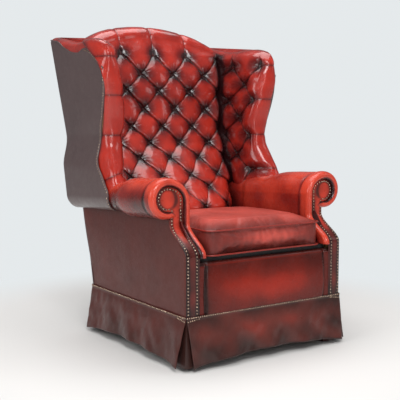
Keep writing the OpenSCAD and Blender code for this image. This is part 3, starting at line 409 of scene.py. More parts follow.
def leather(name, dark, mid, bright, worn_and_shaded=True, base_level=0.5, mottling=0.4, patch_size=9.0,
            roughness=0.34, grain=0.25, coat=0.2, crease=0.3, gloss=0.3, seed=0.0):
    """Hand-rubbed leather: dark in the folds, bright where it is rubbed, with fine grain and creases; the
    mark that sets this is part real wear and part painted shade and highlight.
    """
    f = Finish(name)
    patches = f.mottle(patch_size, 4.0, 0.6, seed=seed)
    cloud = f.mottle(patch_size * 3.7, 3.0, 0.6, seed=seed + 3.1)
    level = f.math("MULTIPLY_ADD", patches, mottling, base_level - mottling * 0.5)
    level = f.math("ADD", level, f.math("MULTIPLY", f.math("SUBTRACT", cloud, 0.5), mottling * 0.5))
    # The per-corner mark: real rubbing and dye, with painted shade in hollows and painted highlight on tops
    if worn_and_shaded:
        wear_and_shade = f.add("ShaderNodeAttribute", attribute_name="wear_and_shade").outputs["Fac"]
        level = f.math("ADD", f.math("SUBTRACT", wear_and_shade, 0.5), level)
    pebbles = f.add("ShaderNodeTexVoronoi", Scale=520.0, Randomness=1.0, Vector=f.place).outputs["Distance"]
    fine = f.mottle(1500.0, 2.0, 0.5)
    lines = f.mottle(60.0, 6.0, 0.62, seed=seed + 7.7)
    creases = f.band(f.math("ABSOLUTE", f.math("SUBTRACT", lines, 0.5)), 0.0, 0.035)
    normal = f.relief(creases, crease, 0.0006)
    normal = f.relief(pebbles, grain, 0.0004, normal)
    normal = f.relief(fine, grain * 0.5, 0.0002, normal)
    sheen_spots = f.mottle(34.0, 4.0, 0.6, seed=seed + 11.0)
    f.give(Base_Color=f.shades(level, (0.0, dark), (0.42, mid), (0.8, bright)), Normal=normal,
           Roughness=f.band(sheen_spots, 0.25, 0.75, roughness - 0.07, roughness + 0.09),
           Coat_Weight=coat, Coat_Roughness=0.09, Specular_IOR_Level=gloss)
    return f.material


tufted_leather = leather("tufted_oxblood_leather", (36, 11, 13), (112, 23, 19), (176, 43, 29),
                         mottling=0.36, roughness=0.2, coat=0.65)
arm_leather = leather("arm_oxblood_leather", (36, 12, 12), (128, 30, 23), (196, 64, 44),
                      mottling=0.42, patch_size=7.0, roughness=0.26, coat=0.34, seed=4.0)
border_leather = leather("seat_border_leather", (38, 13, 10), (108, 27, 17), (172, 40, 22), base_level=0.42,
                         mottling=0.24, patch_size=6.0, roughness=0.28, coat=0.16, gloss=0.2, seed=8.0)
panel_leather = leather("outside_panel_leather", (52, 27, 23), (88, 37, 31), (124, 44, 35),
                        worn_and_shaded=False, base_level=0.36, mottling=0.44, patch_size=4.0, roughness=0.36,
                        coat=0.12, gloss=0.25, seed=12.0)
# Its light greyish tones stand partly for the pale room reflected in dark leather: painted reflection
wing_panel_leather = leather("outside_wing_leather", (60, 46, 45), (86, 68, 67), (106, 74, 70),
                             worn_and_shaded=False, base_level=0.36, mottling=0.36, patch_size=4.0, roughness=0.36,
                             coat=0.4, gloss=0.5, seed=15.0)
skirt_leather = leather("skirt_leather", (52, 28, 24), (98, 43, 36), (142, 43, 31),
                        base_level=0.34, patch_size=5.0, seed=17.0)
cushion_leather = leather("seat_cushion_leather", (50, 18, 16), (132, 48, 40), (206, 84, 72),
                          mottling=0.24, patch_size=11.0, roughness=0.42, grain=0.6, coat=0.08,
                          crease=0.5, seed=21.0)
welt_leather = leather("red_welt_leather", (70, 22, 19), (116, 34, 28), (150, 46, 36),
                       worn_and_shaded=False, base_level=0.6, patch_size=30.0, roughness=0.36, seed=25.0)
stem_leather = leather("facing_leather", (36, 13, 11), (96, 29, 22), (192, 55, 36), base_level=0.46,
                       mottling=0.3, patch_size=8.0, roughness=0.32, seed=33.0)
button_leather = leather("button_leather", (24, 10, 10), (60, 16, 14), (104, 30, 24),
                         worn_and_shaded=False, base_level=0.4, patch_size=40.0, roughness=0.28, coat=0.4, seed=29.0)


def metal(name, scale, detail, dark, light, rough_low, rough_high):
    """Bare metal with a dark and a light stop for its tone."""
    f = Finish(name)
    tone = f.mottle(scale, detail)
    f.give(Base_Color=f.shades(tone, dark, light), Metallic=1.0,
           Roughness=f.band(tone, 0.2, 0.8, rough_low, rough_high))
    return f.material


nail_brass = metal("antique_brass", 90.0, 2.0, (0.2, (112, 90, 74)), (0.7, (214, 190, 168)), 0.34, 0.22)


def wood(name, dark, light, roughness, coat):
    f = Finish(name)
    grain = f.mottle(14.0, 8.0, 0.6, stretch=(9.0, 9.0, 1.0))
    pores = f.mottle(120.0, 4.0, 0.7, stretch=(9.0, 9.0, 0.8), seed=5.0)
    tone = f.math("ADD", f.math("MULTIPLY", grain, 0.8), f.math("MULTIPLY", pores, 0.25))
    f.give(Base_Color=f.shades(tone, (0.3, dark), (0.75, light)), Coat_Weight=coat,
           Roughness=f.band(pores, 0.2, 0.8, roughness, roughness + 0.12),
           Normal=f.relief(pores, 0.2, 0.0005))
    return f.material


foot_wood = wood("stained_foot_wood", (38, 10, 8), (98, 30, 20), 0.28, 0.5)
frame_wood = wood("beech_frame_wood", (150, 112, 72), (198, 160, 112), 0.6, 0.0)


def woven(name, dark, light, threads):
    f = Finish(name)
    threads_of = {"Scale": threads, "Distortion": 0.4, "Vector": f.place}
    across = f.add("ShaderNodeTexWave", **threads_of).outputs["Fac"]
    along = f.add("ShaderNodeTexWave", bands_direction="Y", **threads_of).outputs["Fac"]
    weave = f.math("MULTIPLY", across, along)
    lint = f.mottle(220.0, 3.0)
    tone = f.math("ADD", f.math("MULTIPLY", weave, 0.6), f.math("MULTIPLY", lint, 0.4))
    f.give(Base_Color=f.shades(tone, (0.1, dark), (0.8, light)), Roughness=f.band(lint, 0.2, 0.8, 0.84, 0.94),
           Normal=f.relief(weave, 0.4, 0.0006))
    return f.material


webbing_cloth = woven("jute_webbing", (96, 76, 48), (164, 136, 92), 160.0)
deck_cloth = woven("deck_cloth", (18, 17, 17), (46, 43, 42), 300.0)
dust_cloth = woven("dust_cloth", (10, 10, 11), (30, 30, 32), 420.0)
foam_block = woven("foam_block", (206, 190, 140), (232, 220, 176), 500.0)

glide_steel = metal("glide_steel", 150.0, 3.0, (0.3, (150, 140, 120)), (0.8, (206, 198, 180)), 0.25, 0.4)
NODE_FINISHES = {
    "rail": frame_wood, "corner_blocks": frame_wood, "post": frame_wood, "board": frame_wood,
    "wing_frame": frame_wood, "webbing": webbing_cloth, "seat_deck": deck_cloth, "dust_cover": dust_cloth,
    "cushion_core": foam_block, "foot": foot_wood, "glides": glide_steel,
}


def finish_node(node, material):
    node.data.materials.clear()
    node.data.materials.append(material)


for node_name, node in nodes.items():
    for part, material in NODE_FINISHES.items():
        if part in node_name:
            finish_node(node, material)
            break

# Buttons and the folds between them
RISE, FALL = 0.42, 0.24
TUFT_PEAK = (RISE / (RISE + FALL)) ** RISE * (FALL / (RISE + FALL)) ** FALL


def puff(t):
    """Rise of the leather between two folds, gentle over the lower one and steep into the upper one."""
    t = min(1.0, max(0.0, t))
    return t ** RISE * (1 - t) ** FALL / TUFT_PEAK


def tuft(p, q):
    """Height of a place in the lattice of buttons: 0 at a button, 1 on top of a pillow."""
    a = puff(p - floor(p))
    b = puff(floor(q) + 1 - q)
    return a * b * 0.46 + 0.54 * sqrt((a * a + b * b) / 2)


def nearest_button(p, q, wide, high):
    """Distance and bearing of the nearest button, for a lattice with the given half spacings."""
    best = None
    for pn in (floor(p), floor(p) + 1):
        for qn in (floor(q), floor(q) + 1):
            du = ((p - pn) + (q - qn)) / 2
            dv = (p - pn) - (q - qn)
            d = hypot(du * wide, dv * high)
            if best is None or d < best[0]:
                best = (d, atan2(-dv * high, du * wide), pn * 1.7 + qn * 2.9)
    return best


def gathers(d, bearing, seed, reach):
    """Small pleats that run out from a button, mostly above it."""
    strength = bell(d / reach) * d / (d + 6)
    waves = cos(15 * bearing + seed) + 0.6 * cos(23 * bearing - seed * 2.3)
    return strength * waves * (0.75 + 0.45 * sin(bearing))


# Half spacings of the buttons in millimetres, and how sharp the seams, the hollows and the stitch lines
# of the crest roll are
BACK_BUTTONS = (126.0, 72.0)
WING_BUTTONS = (80.0, 68.0)
CREST_SEAM = 38
CREST_VALLEY = 4.5
CREST_STITCH = 62

# Width of a crease, and how far two folds of the back and of the wings lie apart
CREASE_W = 1.8
BACK_FOLD_W = 94
WING_FOLD_W = 100


def drifted(p, q, away, across, up, seed):
    """A place in the lattice moved a little away from the buttons, so that no two folds are alike."""
    drift = 0.05 * ramp(away / 36)
    p += drift * soft_noise(across, up, 0, 48.0, seed)
    q += drift * soft_noise(across, up, 0, 48.0, seed + 5)
    return p, q


def crest_line(k, sharpness):
    """1 over the buttons of the back's top row and halfway between them, falling off with the sharpness."""
    return bell(sin(pi * 2 * k) * sharpness)


# Back
def rear_y(z):
    return BASE_D / 2 + BACK_LEAN * (z - NAIL_LINE_Z)


def pad_y(z):
    return rear_y(z) - PANEL_T - POST_D


def side_x(z):
    return ARM_INSIDE_X - SOFT_GAP * 2 + WING_LEAN * (z - DECK_Z)


def row_z(v, k):
    if v < 0:
        return mix(row_z(0, k), CREST_EDGE_Z - CREST_FALL * k * k, -v)
    return BACK_BASE_Z + row_share(v) * (CREST_EDGE_Z - BACK_BASE_Z)


def back_pad_t(z, k):
    h = (z - BACK_BASE_Z) / (CREST_EDGE_Z - BACK_BASE_Z)
    return LUMBAR_T * mix(back_mid_share(h), back_side_share(h), abs(k) ** mix(4.5, 2.5, ramp(h * 3)))


def back_tuft_at(k, v):
    """Height of the tufting, its gathers, its tone of rubbed wear and painted shade, and the crease in a
    fold.
    """
    row = max(v, 0.0)
    p = 2 * k + row / 2
    q = 2 * k - row / 2
    d, bearing, seed = nearest_button(p, q, *BACK_BUTTONS)
    wide = k * 250
    tall = row * 68
    p, q = drifted(p, q, d, wide, tall, 3.0)
    height = tuft(p, q)
    near = bell(d / 31)
    spread = 1.0
    if v < 0:
        above = -v
        plain = 0.92 - 0.22 * crest_line(k, CREST_VALLEY) - 0.14 * crest_line(k, CREST_SEAM)
        height = mix(height, plain, ramp(above * 1.3))
        near *= bell(above * 2.0)
        spread = bell(above * 2.2)
    fold = gathers(d, bearing, seed, 26.0) * spread
    fade = ramp((10.2 - v) / 1.4)
    crease = bell(min(from_whole(p), from_whole(q)) * BACK_FOLD_W / CREASE_W) * spread
    if v < 0:
        crease = max(crease, 0.8 * crest_line(k, CREST_STITCH))
    upper = 0.1 * ramp(v / 10) + 0.14 * ramp((v - 5) / 4)
    patch = 0.2 * soft_noise(wide, tall, 7, 70.0, 2.0)
    # Painted shade: darker near the buttons, along the creases and in the hollows of the gathers; the lighter
    # pillow tops are partly rubbed wear and partly painted highlight
    wear_and_shade = 0.2 + 0.46 * ramp(height * 2.3 - 0.35) - 0.74 * near - 0.34 * crease + upper + patch
    wear_and_shade -= 0.2 * near ** 0.5 * max(0.0, -fold)
    return height * fade, fold * fade, wear_and_shade, crease * fade


def back_point(k, v):
    z = row_z(v, k)
    height, fold, wear_and_shade, crease = back_tuft_at(k, v)
    tall = BACK_TUFT * 1.06 * height * mix(0.64, 1, ramp(v + 1)) - 1.5 * crease
    x = k * side_x(z)
    y = pad_y(z) - back_pad_t(z, k) - tall - 2.3 * fold
    y += 1.2 * soft_noise(x, 0, z, 46.0) + 0.5 * soft_noise(x, 5, z, 17.0)
    y += 16.0 * (1 - edge_roll((1 - abs(k)) * side_x(z) / 26))
    # Painted shade where the back meets the wings
    wear_and_shade -= 0.6 * bell((1 - abs(k)) * side_x(z) / 18)
    return x, y, z, wear_and_shade


def crest_point(k, a):
    """Roll over the crest rail, from its front at 0 degrees to the back at 180."""
    front = back_point(k, -1)
    rear = rear_y(front[2])
    seam = crest_line(k, CREST_SEAM)
    high = CREST_ROLL_H * mix(1, 0.55, abs(k) ** 6) * (1 - 0.05 * crest_line(k, CREST_VALLEY) - 0.03 * seam)
    angle = radians(a)
    y = mix(front[1], rear, 0.5) - (rear - front[1]) / 2 * cos(angle) * (1 - 0.015 * seam)
    z = front[2] + high * sin(angle) + 1.0 * soft_noise(k * 260, a, 3, 40.0)
    patch = 0.3 * soft_noise(k * 260, a, 11, 70.0)
    line = 0.8 * crest_line(k, CREST_STITCH)
    # Painted shade as the roll turns down over the crest's rear
    wear_and_shade = mix(front[3], 0.62 - 0.45 * line + patch, ramp(a / 40)) - 0.35 * ramp((a - 120) / 60)
    return k * side_x(z), y, z, wear_and_shade


def inside_back_point(k, station):
    kind, value = station
    if kind == "front":
        return back_point(k, value)
    if kind == "crest":
        return crest_point(k, value)
    z = mix(row_z(-1, k), BACK_BASE_Z, value)
    y = rear_y(z) - PANEL_T - 1 if kind == "rear" else pad_y(z)
    return k * side_x(z), y, z, 0.0


def make_inside_back():
    stations = [("front", v) for v in steps(11, -1, 372)]
    stations += [("crest", a) for a in steps(4, 176, 30)]
    stations += [("rear", 0.0)] + [("pad", h) for h in steps(0, 1, 4)] + [("front", 11.0)]
    bm = surface(steps(-1, 1, 236), stations, inside_back_point)
    close_up(bm)
    piece = make_piece("inside_back_cover", bm, tufted_leather, replaces=["inside_back"])


def make_back_buttons():
    spots = []
    for v in range(10):
        for u in ((-1, 0, 1) if v % 2 == 0 else (-1.5, -0.5, 0.5, 1.5)):
            k = u / 2
            right = Vector(back_point(k + 0.1, v)[:3]) - Vector(back_point(k - 0.1, v)[:3])
            up = Vector(back_point(k, v - 0.35)[:3]) - Vector(back_point(k, v + 0.35)[:3])
            spots.append((back_point(k, v)[:3], right.cross(up)))
    make_piece("back_button_caps", buttons(spots, 4.0), button_leather, replaces=["back_buttons"])


# Wings
def roll_radius(y):
    return ARM_ROLL_R - PANEL_T * 2.6 * ramp((y - ARM_FRONT_Y - 186) / 93)


def arm_drop(y):
    return ARM_SLOPE * max(0.0, y - ARM_FRONT_Y)


def roll_z(y):
    return ARM_ROLL_Z - arm_drop(y)


def arm_top_z(y):
    return roll_z(y) + roll_radius(y)


WING_LOW_Z = arm_top_z(ARM_FRONT_Y + 186) + SOFT_GAP
PANEL_LOW_Z = ARM_ROLL_Z - ARM_ROLL_R - WELT_R * 4
BOARD_OUT = WING_T - PANEL_T
WING_MID = WING_T / 2
BOARD_IN = BOARD_OUT - 35.0


def wing_bottom(y):
    return arm_top_z(y) + SOFT_GAP * 2


def panel_edge(z):
    return panel_edge_share((z - PANEL_LOW_Z) / (WING_TOP_Z - PANEL_LOW_Z)) * BASE_D / 2


def wing_seam(z):
    return pad_y(z) - back_pad_t(z, 1) - BACK_TUFT


# Share of the way across a wing where its front roll starts, the steps back from its first column of
# buttons to each column, and the millimetres between two seams across the front roll
ROLL_START = 0.62
COLUMN_STEPS = (0, 68, 163)
SEAM_SPACING = 270


def first_column_y(front, z):
    """Depth of a wing's first column of buttons, which stands further back low on the wing."""
    return front + 33 + 45 * (1 - ramp((z - 600) / 100))


def from_seam(row):
    """Way in millimetres from a row to the nearest seam across the front roll."""
    return from_whole((row - 1) / 4) * SEAM_SPACING


def wing_lattice(y, z, front, rear):
    """Column and row: negative in front of the first button column, and 13 at the top buttons."""
    first = first_column_y(front, z)
    middle, last = first + COLUMN_STEPS[1], first + COLUMN_STEPS[2]
    if y < first:
        column = -6 * (first - y) / (first - front)
    elif y < middle:
        column = 2 * (y - first) / (middle - first)
    elif y < last:
        column = 2 + 2 * (y - middle) / (last - middle)
    else:
        column = 4 + 2 * (y - last) / max(1.0, rear - last)
    return column, wing_row(z)


def wing_tuft_at(column, row, y, z):
    """Height, gathers, tone of wear and painted shade, and crease of the tufting of a wing."""
    c = max(0.0, column)
    r = min(13.0, row)
    p = (c - (r - 1)) / 4
    q = (c + (r - 1)) / 4
    d, bearing, seed = nearest_button(p, q, *WING_BUTTONS)
    outside = hypot(min(0.0, column) * 5.5, max(0.0, row - 13) * 34)
    d = hypot(d, outside)
    p, q = drifted(p, q, d, y, z, 13.0)
    height = tuft(p, q)
    fold = min(from_whole(p), from_whole(q)) * WING_FOLD_W
    spread = 1.0
    if column < 0:
        share = ramp(-column / 2.2)
        across = from_seam(row)
        height = mix(height, 0.96 - 0.1 * bell(across / 30), share)
        fold = mix(fold, across, share)
    if row > 13:
        share = ramp((row - 13) / 1.3)
        across = from_whole(c / 4) * 160 if column >= 0 else 99
        height = mix(height, 0.95 - 0.12 * bell(across / 24), share)
        fold = mix(fold, across, share)
        spread = bell((row - 13) / 1.5)
    near = bell(d / 33)
    crease = bell(fold / CREASE_W)
    folds = gathers(d, bearing, seed + 5, 24.0) * spread
    # Painted shade near the buttons, along the creases and in the hollows of the gathers, with lighter pillow
    # tops
    wear_and_shade = 0.22 + 0.5 * ramp(height * 2.3 - 0.4) - 0.68 * near - 0.34 * crease
    wear_and_shade -= 0.2 * near ** 0.5 * max(0.0, -folds)
    return height, folds, wear_and_shade, crease


def wing_front(t):
    return wing_front_share(t) * BASE_D / 2


def roll_seam(row):
    """Closeness of a row to one of the thin seams that cross the front roll."""
    away = 99 if row > 13.6 or row < 0 else from_seam(row)
    return bell(away / 2.4) + 0.45 * bell(away / 15)


def cap_roll(y, z):
    """How far the leather stands out below a wing's ridge, from 0 to 1."""
    return edge_roll((wing_ridge(y) - z) / (WING_ROLL_W * 0.42))


def on_the_arm(x, y, z, t):
    """Height of a place on a wing once the wing's foot lies on the leather of the arm."""
    drop = (wing_bottom(y) - max(arm_cover_z(x, y), wing_bottom(y) - 42)) + 0.6
    return z - drop * (1 - ramp(t / 0.25))


def wing_point(s, t):
    """Point on a wing: s runs from the seam to the front edge at 1 and back on the outside to 2."""
    z_rough = mix(WING_LOW_Z, WING_TOP_Z, t)
    near = pad_y(z_rough)
    z_near = mix(wing_bottom(near), wing_ridge(near), t)
    rear = mix(pad_y(z_near) - SOFT_GAP * 2, rear_y(z_near), ramp((t - 0.9) / 0.03))
    front = wing_front(t)
    edge = max(front + 10, panel_edge(z_rough))
    if s < ROLL_START:
        y = mix(rear, front + WING_ROLL_W, s / ROLL_START)
    elif s <= 1:
        y = front + WING_ROLL_W * (1 - sin(radians(90 * (s - ROLL_START) / (1 - ROLL_START))))
    else:
        y = front + max(10.0, edge - front + 2) * (1 - cos(radians(90 * min(1.0, s - 1))))
    z = mix(wing_bottom(y), wing_ridge(y), t)
    turned = wing_flare(z)
    column, row = wing_lattice(y, z, front, rear)
    seam = roll_seam(row)
    rub = 0.1 * soft_noise(y, z, 7, 60.0, 3.0)
    # Darker at the seams across the roll: the seam lines themselves and painted shade in their dips
    rolled_wear_and_shade = 0.72 - 0.42 * min(1.0, seam) + rub
    if s <= 1:
        flare = turned * (1 - ramp((y - front) / (edge - front + 60)))
        share = edge_roll((y - front) / WING_ROLL_W) * edge_roll((wing_ridge(y) - z) / WING_ROLL_W)
        height, fold, wear_and_shade, crease = wing_tuft_at(column, row, y, z)
        at_seam = ramp((wing_seam(z) - y) / WING_ROLL_W + 0.6)
        depth = ramp(share * 1.5 - 0.45)
        off = WING_MID + flare - (WING_MID - SOFT_GAP) * share
        off += (WING_TUFT * 1.15 * (1 - height) - 2.0 * fold + 1.2 * crease) * at_seam * depth
        pillow = (1 - bell(from_seam(row) / 42)) * ramp(share * 1.8)
        off -= 6.5 * pillow * (1 - ramp((y - front - 52) / 44)) * ramp((13.6 - row) / 1.2 + 1)
        off += 2.4 * seam * (1 - depth)
        wear_and_shade = mix(rolled_wear_and_shade, mix(0.2, wear_and_shade, at_seam), ramp(share * 1.7 - 0.6))
        # Painted shade in the corner where the wing meets the back
        wear_and_shade -= 0.55 * bell(max(0.0, wing_seam(z) - y) / 20)
    else:
        out = max(panel_x(z, y) - side_x(z) + 1.0, BOARD_OUT + max(0.0, turned * 0.5))
        out += 3.0 * ramp((z - cap_line(y) + 2) / 8)
        start = WING_MID + turned
        off = start + (out - start) * sin(radians(90 * (s - 1))) * cap_roll(y, z)
        off -= 2.4 * seam * sin(radians(180 * min(0.9, s - 1) + 10))
        wear_and_shade = rolled_wear_and_shade - 0.35 * ramp((s - 1.75) / 0.25)
    off += 0.8 * soft_noise(y, z, 3, 34.0)
    wear_and_shade = mix(wear_and_shade, 0.55 + rub, ramp((t - 0.955) / 0.03))
    x = side_x(z) + off
    return x, y, on_the_arm(x, y, z, t), wear_and_shade


def wing_station(s, t):
    """Point on a closed wing: s from 2 to 3 runs over the hidden outside, back to the seam."""
    if s <= 2:
        return wing_point(s, t)
    start = wing_point(2, t)
    end = wing_point(0, t)
    turn = s - 2
    if turn >= 1:
        return end
    y = mix(start[1], end[1], turn)
    z = mix(wing_bottom(y), wing_ridge(y), t)
    over = WING_MID + (BOARD_OUT + 5.0 - WING_MID) * cap_roll(y, z)
    hidden = min(over, BOARD_IN - 0.5)
    off = mix(hidden, over, ramp((z - cap_line(y) + 12) / 8))
    if turn < 0.03:
        off = mix(start[0] - side_x(start[2]), off, ramp(turn / 0.03))
    x = side_x(z) + off
    wear_and_shade = 0.66 + 0.25 * soft_noise(y, z, 5, 50.0) - 0.5 * roll_seam(5 + abs(y - 215) / 67)
    return x, y, on_the_arm(x, y, z, t), wear_and_shade


def make_wings():
    across = runs(0, (ROLL_START, 120), (1, 34), (2, 34)) + [2.015, 2.03] + steps(2.06, 3, 36)
    up = runs(0, (0.86, 190), (0.93, 22), (0.965, 8))
    up += [1 - 0.035 * cos(radians(a)) for a in steps(0, 90, 14)][1:]
    bm = surface(across, up, wing_station)
    close_up(bm)
    for piece in both_sides("wing_cover", bm, tufted_leather, replaces=["wing_pad"]):
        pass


def make_wing_buttons():
    spots = []
    for column, rows in ((0, (1, 5, 9, 13)), (1, (3, 7, 11)), (2, (5, 9, 13))):
        for row in rows:
            z = wing_row_z(row)
            t = (z - WING_LOW_Z) / (WING_TOP_Z - WING_LOW_Z)
            for _ in range(3):
                front = wing_front(t)
                y = first_column_y(front, z) + COLUMN_STEPS[column]
                t = (z - wing_bottom(y)) / (wing_ridge(y) - wing_bottom(y))
            if y > wing_seam(z) - 11:
                continue
            rear = wing_point(0, t)[1]
            s = ROLL_START * (y - rear) / (front + WING_ROLL_W - rear)
            if s > ROLL_START:
                turned = degrees(asin(min(1.0, 1 - (y - front) / WING_ROLL_W)))
                s = ROLL_START + (1 - ROLL_START) * turned / 90
            ahead = Vector(wing_point(s + 0.05, t)[:3]) - Vector(wing_point(s - 0.05, t)[:3])
            up = Vector(wing_point(s, t + 0.03)[:3]) - Vector(wing_point(s, max(0, t - 0.03))[:3])
            out = up.cross(ahead)
            spots.append((wing_point(s, t)[:3], -out if out.x > 0 else out))
    both_sides("wing_button_caps", buttons(spots, 3.0), button_leather, replaces=["wing_buttons"])


# Outside panels of the wings
BACK_CORNER_Z = 1081.0


def panel_x(z, y):
    """Inner face of the outside wing at a height and depth."""
    on_roll = ARM_ROLL_X + roll_radius(y) + SOFT_GAP * 3
    return mix(side_x(z) + BOARD_OUT, on_roll, 1 - ramp((z - 612) / 122))


WAIST_Z = mix(WING_LOW_Z, WING_TOP_Z, 0.43 * 0.55)


def panel_section(n, y):
    """Outside wing section at a depth: n to 1 turns round the roll, to 2 swells over it, to 3 rises."""
    if n <= 1:
        r = roll_radius(y) + SOFT_GAP * 3
        a = radians(mix(-80, 4, n))
        return ARM_ROLL_X + r * cos(a), roll_z(y) + r * sin(a)
    z = mix(roll_z(y), WAIST_Z, mix(0.08, 1, n - 1)) if n <= 2 else mix(WAIST_Z, cap_line(y), n - 2)
    return panel_x(z, y), z


def panel_point(n, s, off=PANEL_T):
    """Point on an outside wing: s runs from the nailed edge to the back, n up the section."""
    column_y = mix(CAP_LINE[0][0], CAP_LINE[-1][0], s)
    z0 = mix(WAIST_Z, cap_line(column_y), n - 2) if n > 2 else panel_section(n, BASE_D / 6)[1]
    y = mix(nail_line(z0), rear_y(z0) - PANEL_T - SOFT_GAP, s)
    x, z = (panel_x(z0, y), z0) if n > 2 else panel_section(n, y)
    crown = 1.2 * sin(pi * s) if off else 0.0
    x += off + crown + 0.5 * soft_noise(0, y, z, 70.0, 2.0)
    return x, min(y, rear_y(z) - PANEL_T), z


def make_outside_wings():
    around = runs(0, (1, 22), (2, 34), (3, 60))
    bm = surface(steps(0, 1, 56), around, lambda s, n: panel_point(n, s), worn_and_shaded=False)
    face_towards(bm, 1, 0)
    for piece in both_sides("outside_wing_cover", bm, wing_panel_leather, replaces=["outside_wing"]):
        thicken(piece, 0.0055)


def tube_along(points, radius, closed=False):
    """Round cord of leather through the points."""
    count = len(points)
    last = count if closed else count - 1

    def place(turn, index):
        i = round(index)
        if closed:
            here, before, after = points[i % count], points[(i - 1) % count], points[(i + 1) % count]
        else:
            here, before, after = points[i], points[max(0, i - 1)], points[min(last, i + 1)]
        along = (Vector(after) - Vector(before)).normalized()
        side = along.cross(Vector((0.13, 0.05, 1)) if abs(along.z) < 0.9 else Vector((1, 0, 0))).normalized()
        a = radians(turn)
        return Vector(here) + (side * cos(a) + side.cross(along) * sin(a)) * radius

    bm = surface(steps(0, 360, 10), range(last + 1), place, worn_and_shaded=False)
    close_up(bm)
    return bm


def make_wing_welts():
    points = []
    for s in steps(0.0, 1.0, 80):
        x, y, z = panel_point(3, s, 0.0)
        points.append((x + WELT_R + 1.2, y, z + WELT_R * 0.4))
    both_sides("wing_welt_cord", tube_along(points, WELT_R * 0.62), wing_panel_leather,
               replaces=["wing_welt"])


# Arms
def sweep_share(z):
    return ramp((z - SWEEP_LOW_Z) / (SWEEP_HIGH_Z - SWEEP_LOW_Z))


def arm_face_y(z):
    return mix(FRONT_Y, ARM_FRONT_Y, sweep_share(z))


def arm_inner_x(y, z):
    at_wing = max(ARM_INSIDE_X, side_x(z)) + SOFT_GAP * 2
    return mix(ARM_INSIDE_X, at_wing, ramp((y - BASE_D * 0.2) / (BASE_D * 0.06)))


def shoulder_power(y):
    """How square the inner shoulder of an arm is: round at the front and fuller under the wing."""
    return mix(2.0, 2.7, ramp((y + 180) / 180))


def arm_cover_z(x, y):
    """Height of the arm's leather at a place."""
    shoulder = ARM_BOARD_TOP - arm_drop(y)
    r = roll_radius(y)
    c = roll_z(y)
    if x >= ARM_ROLL_X:
        return c + sqrt(max(0.0, r * r - (x - ARM_ROLL_X) ** 2))
    power = shoulder_power(y)
    inner = arm_inner_x(y, shoulder)
    u = min(1.0, (ARM_ROLL_X - x) / (ARM_ROLL_X - inner))
    return shoulder + (c + r - shoulder) * (1 - u ** power) ** (1 / power)


def arm_angle(s):
    """Bearing of the arm's outward side, from 0 on its inner side over the top."""
    if s <= 1:
        return 0.0
    if s <= 2:
        return radians(90 * (s - 1))
    return radians(90 + 192 * (s - 2))


ARM_LOW_Z = 352.0
FACING_X = 333.0
FACING_Z = 531.0
FACING_R = 39.0
FACING_IN_X = 274.0


def arm_outline(s, y):
    """Section of an arm at a depth: s to 1 rises up the inside, to 2 goes over, to 3 under the roll."""
    r = roll_radius(y)
    c = roll_z(y)
    shoulder = ARM_BOARD_TOP - arm_drop(y)
    if s <= 1:
        z = mix(ARM_LOW_Z, shoulder, s)
        return arm_inner_x(y, z), z
    if s <= 2:
        inner = arm_inner_x(y, shoulder)
        a = radians(90 * (s - 1))
        power = 2 / shoulder_power(y)
        wide = cos(a) ** power if s < 2 else 0.0
        return ARM_ROLL_X - (ARM_ROLL_X - inner) * wide, shoulder + (c + r - shoulder) * sin(a) ** power
    a = radians(90 - 192 * (s - 2))
    return ARM_ROLL_X + r * cos(a), c + r * sin(a)


def rim_swell(ahead):
    """Fullness of the arm's leather just behind its front edge."""
    return 2.2 * bell((ahead - 12) / 15)


def pushed_out(x, z, s, out):
    """A place on the arm's section moved outwards, which is less on the flat inner side."""
    angle = arm_angle(s)
    return x - out * cos(angle) * (0.6 if s <= 1 else 1), z + out * sin(angle)


def facing_outline(s):
    """Edge of the facing beside the same places of the arm's outline."""
    if s <= 1:
        return FACING_IN_X, mix(ARM_LOW_Z, FACING_Z - 10, s)
    if s <= 2:
        a = radians(90 * (s - 1))
        return FACING_X - (FACING_X - FACING_IN_X) * cos(a), FACING_Z - 10 + (FACING_R + 10) * sin(a)
    a = radians(90 - 196 * (s - 2))
    return FACING_X + FACING_R * cos(a), FACING_Z + FACING_R * sin(a)


BORDER_H = 17.0


def arm_rear_y(z):
    return pad_y(z) - SOFT_GAP * 2


